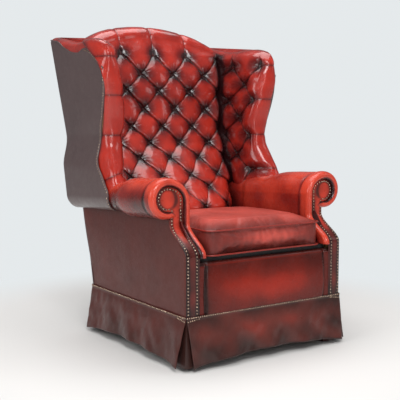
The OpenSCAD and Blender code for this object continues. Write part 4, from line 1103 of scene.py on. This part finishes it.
def arm_point(s, g):
    """Arm cover: g from 0 at the back to 1 at the front, then to 2 over the padded border to the facing."""
    z_rough = arm_outline(s, ARM_FRONT_Y)[1]
    face = arm_face_y(z_rough) + PANEL_T
    if g <= 1:
        y = mix(arm_rear_y(z_rough), face, g)
        x, z = arm_outline(s, y)
        out = 0.9 * soft_noise(x, y, z, 60.0, 9.0)
        out += 0.5 * soft_noise(x, y, z, 22.0, 4.0) * bell((y - 40) / 60)
        ahead = y - face
        out += rim_swell(ahead) - 2.0 * bell((ahead - 35) / 6)
        patch = 0.5 * soft_noise(x, y, z, 95.0, 5.0)
        # Lighter on the full rim just behind the front edge, with painted shade in the groove behind it
        wear_and_shade = 0.66 + patch * 0.45 + 0.24 * bell((ahead - 10) / 18) - 0.3 * bell((ahead - 35) / 7)
        x, z = pushed_out(x, z, s, out)
        # Painted shade down the inner side and under the roll, painted highlight over the top, and painted
        # shade towards the back under the wing
        if s <= 1:
            wear_and_shade -= 0.12 + 0.25 * (1 - s)
        else:
            wear_and_shade += 0.16 * bell((s - 2) / 0.3) - 0.42 * ramp((s - 2.2) / 0.4)
        wear_and_shade -= 0.3 * ramp((y - 60) / 160)
        return x, y, z, wear_and_shade
    a = radians(180 * (g - 1))
    x0, z0 = arm_outline(s, face)
    x1, z1 = facing_outline(s)
    share = (1 - cos(a)) / 2
    x, z = pushed_out(mix(x0, x1, share), mix(z0, z1, share), s, rim_swell(0) * (1 - share))
    y = face - BORDER_H * sin(a) + (3.0 if g > 1.98 else 0.0)
    # The padded border: lighter on its swell, partly painted highlight, with painted shade where it turns in
    # to the facing and low down
    wear_and_shade = mix(0.86 + 0.2 * soft_noise(x, 0, z, 40.0, 6.0), 0.0, ramp((share - 0.6) / 0.3))
    wear_and_shade -= 0.2 * (1 - ramp((z_rough - 352) / 60))
    return x, y, z, wear_and_shade


def arm_station(s, g):
    """Point on a closed arm: after arm_point, s runs from 3 under the roll and back to the start at 4."""
    if s <= 3:
        return arm_point(s, g)
    if s >= 4:
        return arm_point(0, g)
    low = arm_point(3 if s < 3.5 else 0, min(g, 1.0))
    return ARM_CORE_X, low[1], low[2] + (6 if s < 3.5 else 0), 0.2


def make_arms():
    around = runs(0, (1, 44), (2, 30), (3, 64)) + [3.2, 3.7, 4.0]
    bm = surface(around, runs(0, (0.82, 60), (1, 40), (2, 24)), arm_station)
    close_up(bm)
    for piece in both_sides("arm_cover", bm, arm_leather, replaces=["arm_pad", "facing_border"]):
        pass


def facing_half_width(z):
    """Inner and outer edge of the facing at a height."""
    low, high = FACING_IN_X, SIDE_HALF - 0.5
    if z > FACING_Z - 10:
        t = min(1.0, (z - FACING_Z + 10) / (FACING_R + 10))
        low = FACING_X - (FACING_X - FACING_IN_X) * sqrt(max(0.0, 1 - t * t))
    if z > FACING_Z - FACING_R * 0.96:
        t = max(-1.0, min(1.0, (z - FACING_Z) / FACING_R))
        high = FACING_X + FACING_R * sqrt(max(0.0, 1 - t * t))
    return low, high


# Inner and outer row of the facing's nails, and the ring that joins them over the head
NAIL_IN_X = 284.0
NAIL_OUT_X = 316.6
NAIL_RING_R = 32.5


def facing_point(s, h):
    top = FACING_Z + FACING_R
    z = mix(FRAME_Z, top, h)
    low, high = facing_half_width(min(z, top - 0.02))
    x = mix(low - 1.5, high, s)
    crown = 2.4 * sin(pi * s) ** 0.7 * ramp((top - z) / 14)
    if z < 500:
        nail_near = min(abs(x - NAIL_IN_X), abs(x - NAIL_OUT_X))
    else:
        nail_near = abs(hypot(x - FACING_X, z - FACING_Z) - NAIL_RING_R)
    wear_and_shade = 0.3 + 0.42 * ramp((z - 300) / 170) + 0.3 * soft_noise(x, 0, z, 50.0, 8.0)
    wear_and_shade -= 0.35 * bell(nail_near / 6) + 0.2 * abs(2 * s - 1) ** 3
    return x, arm_face_y(z) + 1.4 - crown, z, wear_and_shade


def make_facings():
    bm = surface(steps(0, 1, 28), runs(0, (0.84, 110), (1, 40)), facing_point)
    bmesh.ops.remove_doubles(bm, verts=bm.verts[:], dist=MEETING_GAP)
    face_towards(bm, 0, -1)
    for piece in both_sides("facing_cover", bm, stem_leather, replaces=["facing"]):
        thicken(piece, 0.005)


def face_slope(z):
    """Way that the swept front edge of an arm goes back for each millimetre up."""
    return (arm_face_y(z + NAIL_R) - arm_face_y(z - NAIL_R)) / NAIL_R / 2


def facing_nail_places():
    """Places of the nails on a facing: two rows up the stem, joined over the head and round to the neck."""
    def row(x, top):
        z = NAIL_LINE_Z + NAIL_PITCH
        while z <= top:
            places.append((x, z))
            z += NAIL_PITCH / hypot(1, face_slope(z))

    def over_head(wide, degrees_round):
        a = radians(degrees_round)
        places.append((FACING_X + wide * cos(a), FACING_Z + NAIL_RING_R * sin(a)))

    places = []
    row(NAIL_IN_X, FACING_Z - NAIL_PITCH / 2)
    row(NAIL_OUT_X, FACING_Z - NAIL_RING_R * 1.1)
    wide = FACING_X - NAIL_IN_X
    over = int((NAIL_RING_R + wide) * pi / 4 / NAIL_PITCH)
    for i in range(over):
        t = i / over
        over_head(wide, 180 - 90 * t * (1.2 - 0.2 * t))
    count = int(NAIL_RING_R * pi * 190 / 180 / NAIL_PITCH)
    for i in range(count + 1):
        over_head(NAIL_RING_R, 90 - 190 * i / count)
    return places


def make_facing_nails():
    spots = []
    for x, z in facing_nail_places():
        low, high = facing_half_width(z)
        h = (z - FRAME_Z) / (FACING_Z + FACING_R - FRAME_Z)
        leather_y = facing_point((x - low + 1.5) / (high - low + 1.5), h)[1]
        spots.append(((x, leather_y - 0.2, z), Vector((0, -1, face_slope(z)))))
    both_sides("facing_nail_heads", nail_heads(spots, 3.1), nail_brass, replaces=["facing_nails"])


# Outside panels of the arms and the back
def outside_arm_point(s, h):
    """Point on an outside arm: s runs from its front to the back, h up to the roll."""
    def under_roll(y):
        return roll_z(y) - roll_radius(y) - SOFT_GAP

    rear = arm_rear_y(450)
    z = mix(FRAME_Z, max(under_roll(mix(ARM_FRONT_Y, rear, s)), under_roll(rear)), h)
    y = mix(arm_face_y(z) + PANEL_T * 0.3, rear_y(z) - PANEL_T, s)
    crown = 2.0 * sin(pi * s) ** 0.6 * sin(pi * h) ** 0.6
    x = SIDE_HALF - 1.2 + crown + 1.2 * soft_noise(0, y, z, 90.0, 4.0) + 10 * s * s * ramp((z - 190) / 240)
    return x, y, z


def make_outside_arms():
    bm = surface(steps(0, 1, 60), steps(0, 1, 60), outside_arm_point, worn_and_shaded=False)
    face_towards(bm, 1, 0)
    for piece in both_sides("outside_arm_cover", bm, panel_leather, replaces=["outside_arm"]):
        thicken(piece, 0.005)


# Share of its side's height at which the outside back leaves the straight base for the arm's roll
BACK_BASE_SHARE = 0.4


def outside_back_half(h):
    """Half width and height of the outside back at a share of its side's height."""
    if h < BACK_BASE_SHARE:
        return SIDE_HALF, mix(FRAME_Z, 470.0, h / BACK_BASE_SHARE)
    y = rear_y(ARM_ROLL_Z) - PANEL_T
    n = (h - BACK_BASE_SHARE) / (1 - BACK_BASE_SHARE) * 3
    if n <= 2:
        x, z = panel_section(n, y)
    else:
        z = mix(WAIST_Z, BACK_CORNER_Z, n - 2)
        x = panel_x(z, y)
    return x + PANEL_T, z


def back_top_z(x):
    """Top edge of the outside back: under the crest roll, and up behind the wings' caps at its corners."""
    crest = CREST_EDGE_Z - CREST_FALL * min(1.0, x / 298) ** 2
    return mix(crest, BACK_CORNER_Z, ramp((abs(x) - 300) / 26))


def outside_back_point(k, h):
    wide, z = outside_back_half(h)
    if h > BACK_BASE_SHARE:
        wide = max(wide, mix(SIDE_HALF, wide, ramp((h - BACK_BASE_SHARE) / 0.05)))
    x = k * wide
    share = max(0.0, (z - 560) / (BACK_CORNER_Z - 560))
    z += (back_top_z(abs(x)) - BACK_CORNER_Z) * share
    crown = 2.5 * cos(pi * k / 2) * sin(pi * h)
    return x, rear_y(z) - 2.2 + crown + 0.7 * soft_noise(x, 0, z, 110.0, 6.0), z


def make_outside_back():
    bm = surface(steps(-1, 1, 80), steps(0, 1, 100), outside_back_point, worn_and_shaded=False)
    face_towards(bm, 0, 1)
    piece = make_piece("outside_back_cover", bm, wing_panel_leather, replaces=["outside_back"])
    thicken(piece, 0.004)


# Front border under the cushion
def front_border_point(s, a):
    """Point on the front border: s across, a up its face, over its top and down its rear."""
    kind, value = a
    x = s * BORDER_HALF_W
    seam_x = BORDER_SEAM_X + 4 * sin(pi * (value if kind == "face" else 1.0))
    inside = seam_x - abs(x)
    edge = edge_roll(inside / 16)
    strip = ramp(-inside / 3)
    patch = 0.14 * soft_noise(x, 0, value * 150 if kind == "face" else 150, 75.0, 5.0)
    if kind == "face":
        z = mix(FRAME_Z, DECK_Z - 26, value)
        y = FRONT_Y + 10 - (9 + 8.0 * sin(pi * value ** 0.8)) * edge - 8 * strip
        y += 0.7 * soft_noise(x, 0, z, 60.0, 1.0)
        wear_and_shade = 0.2 + 0.5 * (bell((value - 0.5) / 0.38) * bell(s / 0.86, 4)) + patch
        return x, y, z, mix(wear_and_shade - 0.25 * bell((inside - 3) / 7), 0.34, strip)
    # Painted shade as the border runs over its top and down its rear, under the cushion
    if kind == "top":
        t = radians(value)
        y = FRONT_Y + 13 - 12 * cos(t) * edge - 8 * strip * cos(t)
        z = DECK_Z - 26 + 13 * sin(t)
        return x, y, z, mix(0.5 - 0.4 * abs(s) ** 6 + patch, 0.1, ramp(value / 70))
    return x, FRONT_Y + 23, mix(DECK_Z - 13, FRAME_Z, value), 0.1


def make_front_border():
    across = [sin(radians(a)) for a in steps(-90, 90, 120)]
    rows = [("face", v) for v in steps(0, 1, 40)] + [("top", a) for a in steps(9, 90, 9)]
    rows += [("rear", 0.0), ("rear", 1.0), ("face", 0.0)]
    bm = surface(across, rows, front_border_point)
    close_up(bm)
    piece = make_piece("front_border_cover", bm, border_leather, replaces=["front_border"])


# Loose seat cushion
CUSHION_HALF_W = CUSHION_W / 2 - 2 * CUSHION_WELT_R - 3
CUSHION_HALF_D = CUSHION_D / 2 - 2 * CUSHION_WELT_R


def cushion_plan(x, y, out=0.0):
    """Place of a share of the cushion's plan, whose corners are rounded, the front ones most."""
    wide = CUSHION_HALF_W + out
    deep = CUSHION_HALF_D + out
    most = max(abs(x), abs(y))
    if most == 0:
        return 0.0, CUSHION_MID_Y
    bend = (30.0 if y < 0 else 14.0) + out
    px = abs(x) / most * wide
    py = abs(y) / most * deep
    if px > wide - bend and py > deep - bend:
        t = (py - deep + bend) / (2 * bend) if px >= wide - 1e-6 else 1 - (px - wide + bend) / (2 * bend)
        a = radians(90 * t)
        px = wide - bend + bend * cos(a)
        py = deep - bend + bend * sin(a)
    px = copysign(px * most, x)
    py = copysign(py * most, y)
    return px - CUSHION_DRAW * x * (1 - y * y), CUSHION_MID_Y + py - CUSHION_DRAW * y * (1 - x * x)


def cushion_shell(side, dome_share):
    """Top or underside of the cushion, domed by a share of its full crown."""
    def place(x, y):
        px, py = cushion_plan(x, y, -1.0)
        dome = max(0.0, (1 - x * x) * (1 - y * y)) ** 0.55
        if side > 0:
            z = CUSHION_Z + CUSHION_T - 1 + CUSHION_CROWN * dome * dome_share
            wear_and_shade = 0.62 + 0.16 * soft_noise(px, py, 5, 90.0, 2.0) - 0.4 * max(abs(x), abs(y)) ** 9
        else:
            # Painted shade: the underside gets a dark tone
            z = CUSHION_Z + 1 - CUSHION_BELLY * dome * dome_share
            wear_and_shade = 0.2
        return px, py, z + 0.8 * soft_noise(px, py, side * 9, 40.0) * dome ** 0.5, wear_and_shade

    rows = steps(-1, 1, 88)
    return surface(rows, rows, place)


def blow_up(piece, pressure, cap):
    """Fills a closed leather cover as cloth under pressure, with no point moved past the cap."""
    scene = bpy.context.scene
    cloth = piece.modifiers.new("filling", "CLOTH")
    cloth.point_cache.frame_start = 1
    cloth.point_cache.frame_end = CLOTH_FRAMES
    rules = {
        "quality": 5, "mass": 0.4, "tension_stiffness": 30, "compression_stiffness": 30,
        "shear_stiffness": 12, "bending_stiffness": 0.6, "use_pressure": True,
        "uniform_pressure_force": pressure, "vertex_group_mass": "seams",
        "vertex_group_shrink": "sides", "shrink_min": -0.004, "shrink_max": -0.05,
    }
    for rule, value in rules.items():
        setattr(cloth.settings, rule, value)
    cloth.settings.effector_weights.gravity = 0
    cloth.collision_settings.use_collision = False
    for number in range(1, CLOTH_FRAMES + 1):
        scene.frame_set(number)
    filled = piece.evaluated_get(bpy.context.evaluated_depsgraph_get()).data
    places = [v.co.copy() for v in filled.vertices]
    piece.modifiers.remove(cloth)
    scene.frame_set(1)
    for v, place in zip(piece.data.vertices, places):
        step = place - v.co
        if step.length > cap:
            step *= cap / step.length
        v.co += step


# Lower and upper seam of the cushion's sides in metres, and the frames that its filling takes
SIDE_LOW, SIDE_HIGH = (CUSHION_Z + 1.5) * 0.001, (CUSHION_Z + CUSHION_T - 1.5) * 0.001
CLOTH_FRAMES = 20


def cushion_bag(dome_share):
    """Closed cover of the cushion, and the numbers of the corners in its seams and in its sides."""
    bm = cushion_shell(1, dome_share)
    lower = cushion_shell(-1, dome_share)
    mesh = bpy.data.meshes.new("cushion_underside")
    lower.to_mesh(mesh)
    lower.free()
    bm.from_mesh(mesh)
    bpy.data.meshes.remove(mesh)
    rims = [e for e in bm.edges if e.is_boundary]
    seam_corners = {v for e in rims for v in e.verts}
    band = bmesh.ops.bridge_loops(bm, edges=rims)["edges"]
    uprights = [e for e in band if abs(e.verts[0].co.z - e.verts[1].co.z) > 0.03]
    bmesh.ops.subdivide_edges(bm, edges=uprights, cuts=14, use_grid_fill=True)
    face_out(bm)
    wear_and_shade = bm.verts.layers.float["wear_and_shade"]
    bm.verts.ensure_lookup_table()
    bm.verts.index_update()
    seams = [v.index for v in bm.verts if v in seam_corners]
    sides = []
    for v in bm.verts:
        if SIDE_LOW < v.co.z < SIDE_HIGH and v not in seam_corners:
            sides.append(v.index)
            h = (v.co.z - SIDE_LOW) / (SIDE_HIGH - SIDE_LOW)
            middle = bell((v.co.x - 0.02) / 0.15) if v.co.y < -0.2 else 0.0
            patch = 0.12 * soft_noise(v.co.x * 1000, 0, v.co.z * 500, 18.0, 3.0)
            v[wear_and_shade] = 0.2 + middle * (0.5 * bell((h - 0.55) / 0.34)) + patch
    return bm, seams, sides


def pucker_sides(piece, seams):
    """Small puckers in the cushion's sides, and the whole cover kept within the cushion's own size."""
    half = (CUSHION_W / 2 - 0.5) * 0.001
    front = (CUSHION_MID_Y - CUSHION_D / 2 + FRAME_SHIFT + 0.5) * 0.001
    rear = (CUSHION_MID_Y + CUSHION_D / 2 + FRAME_SHIFT - 0.5) * 0.001
    middle_y = (CUSHION_MID_Y + FRAME_SHIFT) * 0.001
    for v in piece.data.vertices:
        h = (v.co.z - SIDE_LOW) / (SIDE_HIGH - SIDE_LOW)
        if 0 < h < 1 and v.index not in seams:
            along = v.co.x * 1000 if v.co.y < -0.2 or v.co.y > 0.1 else v.co.y * 1000
            pucker = soft_noise(along, 0, h * 12, 9.0, 5.0) * ramp(h * 1.6) * ramp((1 - h) * 9) * 1.5
            pucker += soft_noise(along, 3, h * 20, 24.0, 9.0) * ramp(h * 5) * ramp((1 - h) * 5) * 1.6
            outward_y = v.co.y - middle_y
            if abs(v.co.x) / half > abs(outward_y) / (CUSHION_D * 0.0005):
                v.co.x += copysign(pucker * 0.001, v.co.x)
            else:
                v.co.y += copysign(pucker * 0.001, outward_y)
        v.co.x = min(half, max(-half, v.co.x))
        v.co.y = min(rear, max(front, v.co.y))
        v.co.z = max((CUSHION_Z - CUSHION_BELLY) * 0.001, v.co.z)


def make_cushion():
    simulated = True
    bm, seams, sides = cushion_bag(0.6 if simulated else 1.0)
    piece = make_piece("cushion_cover_leather", bm, cushion_leather, body="seat_cushion",
                       replaces=["cushion_cover"])
    piece.vertex_groups.new(name="seams").add(seams, 1.0, "REPLACE")
    piece.vertex_groups.new(name="sides").add(sides, 1.0, "REPLACE")
    if simulated:
        blow_up(piece, 4.0, 0.022)
    pucker_sides(piece, set(seams))
    finer = piece.modifiers.new("finer", "SUBSURF")
    finer.levels = 1
    finer.render_levels = 1


def cushion_edge(z):
    """Points round the cushion's plan at a height, just outside its sides."""
    side = [sin(radians(a)) for a in steps(-90, 90, 60)][:-1]
    ring = [(x, -1) for x in side] + [(1, y) for y in side]
    ring += [(-x, 1) for x in side] + [(-1, -y) for y in side]
    return [cushion_plan(x, y, 2.0) + (z,) for x, y in ring]


def make_cushion_welts():
    for name, z, nodes_there in (("low", CUSHION_Z, ["cushion_welts"]), ("top", CUSHION_Z + CUSHION_T, [])):
        cord = tube_along(cushion_edge(z), CUSHION_CORD_R, closed=True)
        make_piece("cushion_welt_" + name, cord, welt_leather, body="seat_cushion", replaces=nodes_there)


# Skirt
def skirt_place(e, d, w, seed, redness):
    """Place on a skirt panel of a width hung on the plane y = 0 and facing -Y: e across, d down."""
    f = max(0.0, (d - 0.08) / 0.92) ** 0.9
    low = HEM_Z + HEM_RISE * max(0.0, 1 - e * e) ** 0.8
    z = mix(NAIL_LINE_Z + NAIL_R, low, d)
    half = w / 2 + (SKIRT_FLARE - PLEAT_GAP) * f
    bend = FOLD_H * d * d * cos(pi * SKIRT_FOLDS * (e + 1)) * 0.6
    slant = e * 300 + (1 - d) * 60
    bend += 6.0 * d * soft_noise(slant, 0, z * 0.5, 90.0, seed)
    bend += 2.6 * d * soft_noise(slant, 4, z * 0.7, 36.0, seed)
    bend += 1.4 * ramp(d * 4) * soft_noise(e * 300 - (1 - d) * 50, 9, z * 0.6, 24.0, seed + 3)
    y = -SOFT_GAP - SKIRT_FLARE * f - min(bend, FOLD_H - 0.3) - SKIRT_T
    patch = 0.3 * soft_noise(e * 300, 0, z * 1.4, 80.0, seed + 6)
    wear_and_shade = 0.22 + patch + 0.4 * bell((d - 0.42) / 0.3) * bell(e / 0.75, 4)
    wear_and_shade -= 0.3 * ramp((d - 0.95) / 0.05)
    return e * half, y, z, 0.35 + (wear_and_shade - 0.35) * redness


def make_skirt():
    sides = (
        ("front", SIDE_HALF * 2, 0, (0.0, FRONT_Y), 1.0, 1.0),
        ("back", SIDE_HALF * 2, 180, (0.0, rear_y(NAIL_LINE_Z + NAIL_R)), 2.3, 0.2),
        ("right", BASE_D, 90, (SIDE_HALF, 0.0), 3.7, 0.2),
        ("left", BASE_D, -90, (-SIDE_HALF, 0.0), 5.1, 0.2),
    )
    for name, width, turn, origin, seed, redness in sides:
        angle = radians(turn)

        def place(e, d):
            x, y, z, wear_and_shade = skirt_place(e, d, width, seed, redness)
            return (origin[0] + x * cos(angle) - y * sin(angle),
                    origin[1] + x * sin(angle) + y * cos(angle), z, wear_and_shade)

        bm = surface(steps(-1, 1, 150), runs(0, (0.08, 3), (1, 34)), place)
        face_towards(bm, sin(angle), -cos(angle))
        piece = make_piece("skirt_sheet_" + name, bm, skirt_leather, replaces=["skirt_" + name])
        thicken(piece, 0.0025)


def make_base_nails():
    """Nails along the skirt's top all round, and a short slanting row below them beside each front corner."""
    pitch = 8.2
    top_y = rear_y(NAIL_LINE_Z)
    proud = SOFT_GAP + SKIRT_T
    ahead = Vector((0, -1, 0))
    spots = []
    for x in steps(-SIDE_HALF + 2, SIDE_HALF - 2, int(SIDE_HALF * 2 / pitch)):
        spots.append(((x, FRONT_Y - proud, NAIL_LINE_Z), ahead))
        spots.append(((x, top_y + proud, NAIL_LINE_Z), -ahead))
    for y in steps(FRONT_Y + 2, top_y - 2, int(BASE_D / pitch)):
        for side in (1, -1):
            spots.append(((side * (SIDE_HALF + proud), y, NAIL_LINE_Z), Vector((side, 0, 0))))
    for i in range(6):
        low = NAIL_LINE_Z - 11 + i * 1.1
        for side in (-1, 1):
            spots.append(((side * (SIDE_HALF - 4 - i * pitch), FRONT_Y - proud - 0.8, low), ahead))
            beside = (side * (SIDE_HALF + proud + 0.8), FRONT_Y + 4 + i * pitch, low)
            spots.append((beside, Vector((side, 0, 0))))
    make_piece("base_nail_heads", nail_heads(spots, 2.9), nail_brass)


def make_wing_nails():
    """Nails up the front edge of the outside wings and a little way along their top."""
    pitch = 10.8
    path = [Vector(panel_point(n, 0.0)) for n in steps(0.0, 3.0, 400)]
    path += [Vector(panel_point(3, s)) for s in steps(0.01, 0.34, 60)]
    spots = []
    travelled = 0.0
    for before, here in zip(path, path[1:]):
        travelled += (here - before).length
        if travelled < pitch:
            continue
        travelled -= pitch
        low = -2.5 if here.z > 962 else 0.0
        spots.append(((here.x + 0.6, here.y + 4.0 + low * 0.5, here.z + low * 1.6), Vector((1, -0.25, 0))))
    both_sides("wing_nail_heads", nail_heads(spots, 2.3), nail_brass)


make_inside_back()
make_back_buttons()
make_wings()
make_wing_buttons()
make_outside_wings()
make_wing_welts()
make_arms()
make_facings()
make_facing_nails()
make_outside_arms()
make_outside_back()
make_front_border()
make_cushion()
make_cushion_welts()
make_skirt()
make_base_nails()
make_wing_nails()
finish_node(nodes["pleat_inserts"], skirt_leather)

# Floor, backdrop and light
BACKDROP = (0.785, 0.82, 0.835, 1.0)

SKY = (0.86, 0.87, 0.9, 1)


def mixed(tree, factor, first, second):
    """Mix of two shaders, the second where the factor is 1."""
    both = tree.nodes.new("ShaderNodeMixShader")
    for socket, source in zip(both.inputs, (factor, first, second)):
        tree.links.new(source, socket)
    return both.outputs[0]


def make_floor():
    """Pale floor that fades into the backdrop a step behind the chair and keeps the chair's shadow."""
    f = Finish("studio_floor_paper")
    f.give(Base_Color=colour(221, 219, 216), Roughness=0.9, Specular_IOR_Level=0.2)
    x, y, _ = f.add("ShaderNodeSeparateXYZ", Vector=f.place).outputs
    away = f.math("SQRT", f.math("ADD", f.math("POWER", x, 2.0), f.math("POWER", y, 2.0)))
    ray = f.add("ShaderNodeLightPath")
    seen = f.math("MULTIPLY", f.band(away, 0.8, 1.35), ray.outputs["Is Camera Ray"])
    glow = f.add("ShaderNodeEmission", Color=BACKDROP)
    paper = mixed(f.tree, seen, f.shader.outputs[0], glow.outputs[0])
    f.tree.links.new(paper, f.tree.nodes["Material Output"].inputs["Surface"])
    bm = bmesh.new()
    bmesh.ops.create_circle(bm, cap_ends=True, segments=96, radius=12.0)
    mesh = bpy.data.meshes.new("studio_floor")
    bm.to_mesh(mesh)
    bm.free()
    ground = bpy.data.objects.new("studio_floor", mesh)
    bpy.context.scene.collection.objects.link(ground)
    mesh.materials.append(f.material)


def light_the_studio():
    """Even pale light, with the backdrop's own tone where the camera looks at it."""
    world = bpy.data.worlds.new("studio_light")
    bpy.context.scene.world = world
    world.use_nodes = True
    tree = world.node_tree
    ray = tree.nodes.new("ShaderNodeLightPath").outputs

    def light(tint, strength):
        source = tree.nodes.new("ShaderNodeBackground")
        source.inputs["Color"].default_value = tint
        source.inputs["Strength"].default_value = strength
        return source.outputs[0]

    reflected = mixed(tree, ray["Is Glossy Ray"], light(SKY, 0.55), light(SKY, 0.22))
    whole = mixed(tree, ray["Is Camera Ray"], reflected, light(BACKDROP, 1.0))
    tree.links.new(whole, tree.nodes["World Output"].inputs["Surface"])


make_floor()
light_the_studio()


def softbox(name, place, aim_z, size, power):
    """Lamp with its edges and power in metres and watts, aimed at a height on the chair's middle line."""
    lamp = bpy.data.lights.new(name, "AREA")
    lamp.shape = "RECTANGLE"
    lamp.size, lamp.size_y = size
    lamp.energy = power
    holder = bpy.data.objects.new(name, lamp)
    bpy.context.scene.collection.objects.link(holder)
    holder.location = place
    holder.rotation_euler = (Vector((0, 0, aim_z)) - Vector(place)).to_track_quat("-Z", "Y").to_euler()


softbox("key_softbox", (-1.2, -2.4, 2.5), 0.6, (1.3, 1.0), 50)
softbox("strip_softbox", (-0.75, -2.8, 1.0), 0.7, (0.3, 1.6), 9)
softbox("side_softbox", (-2.8, -0.4, 1.6), 0.7, (0.9, 1.6), 20)
softbox("top_softbox", (0.1, 0.2, 3.0), 0.6, (2.2, 2.2), 54)
softbox("right_softbox", (2.2, -1.8, 2.0), 0.6, (0.7, 1.4), 6)

camera_data = bpy.data.cameras.new("photo_camera")
camera_data.sensor_width = 36
camera_data.lens = 70.1
camera = bpy.data.objects.new("photo_camera", camera_data)
bpy.context.scene.collection.objects.link(camera)
camera.location = (-1.62, -2.382, 0.756)
azimuth, pitch = radians(-34.3), radians(5.3)
aim = Vector((-sin(azimuth) * cos(pitch), cos(azimuth) * cos(pitch), -sin(pitch)))
camera.rotation_euler = aim.to_track_quat("-Z", "Y").to_euler()
bpy.context.scene.camera = camera
bpy.context.scene.view_settings.view_transform = "Standard"
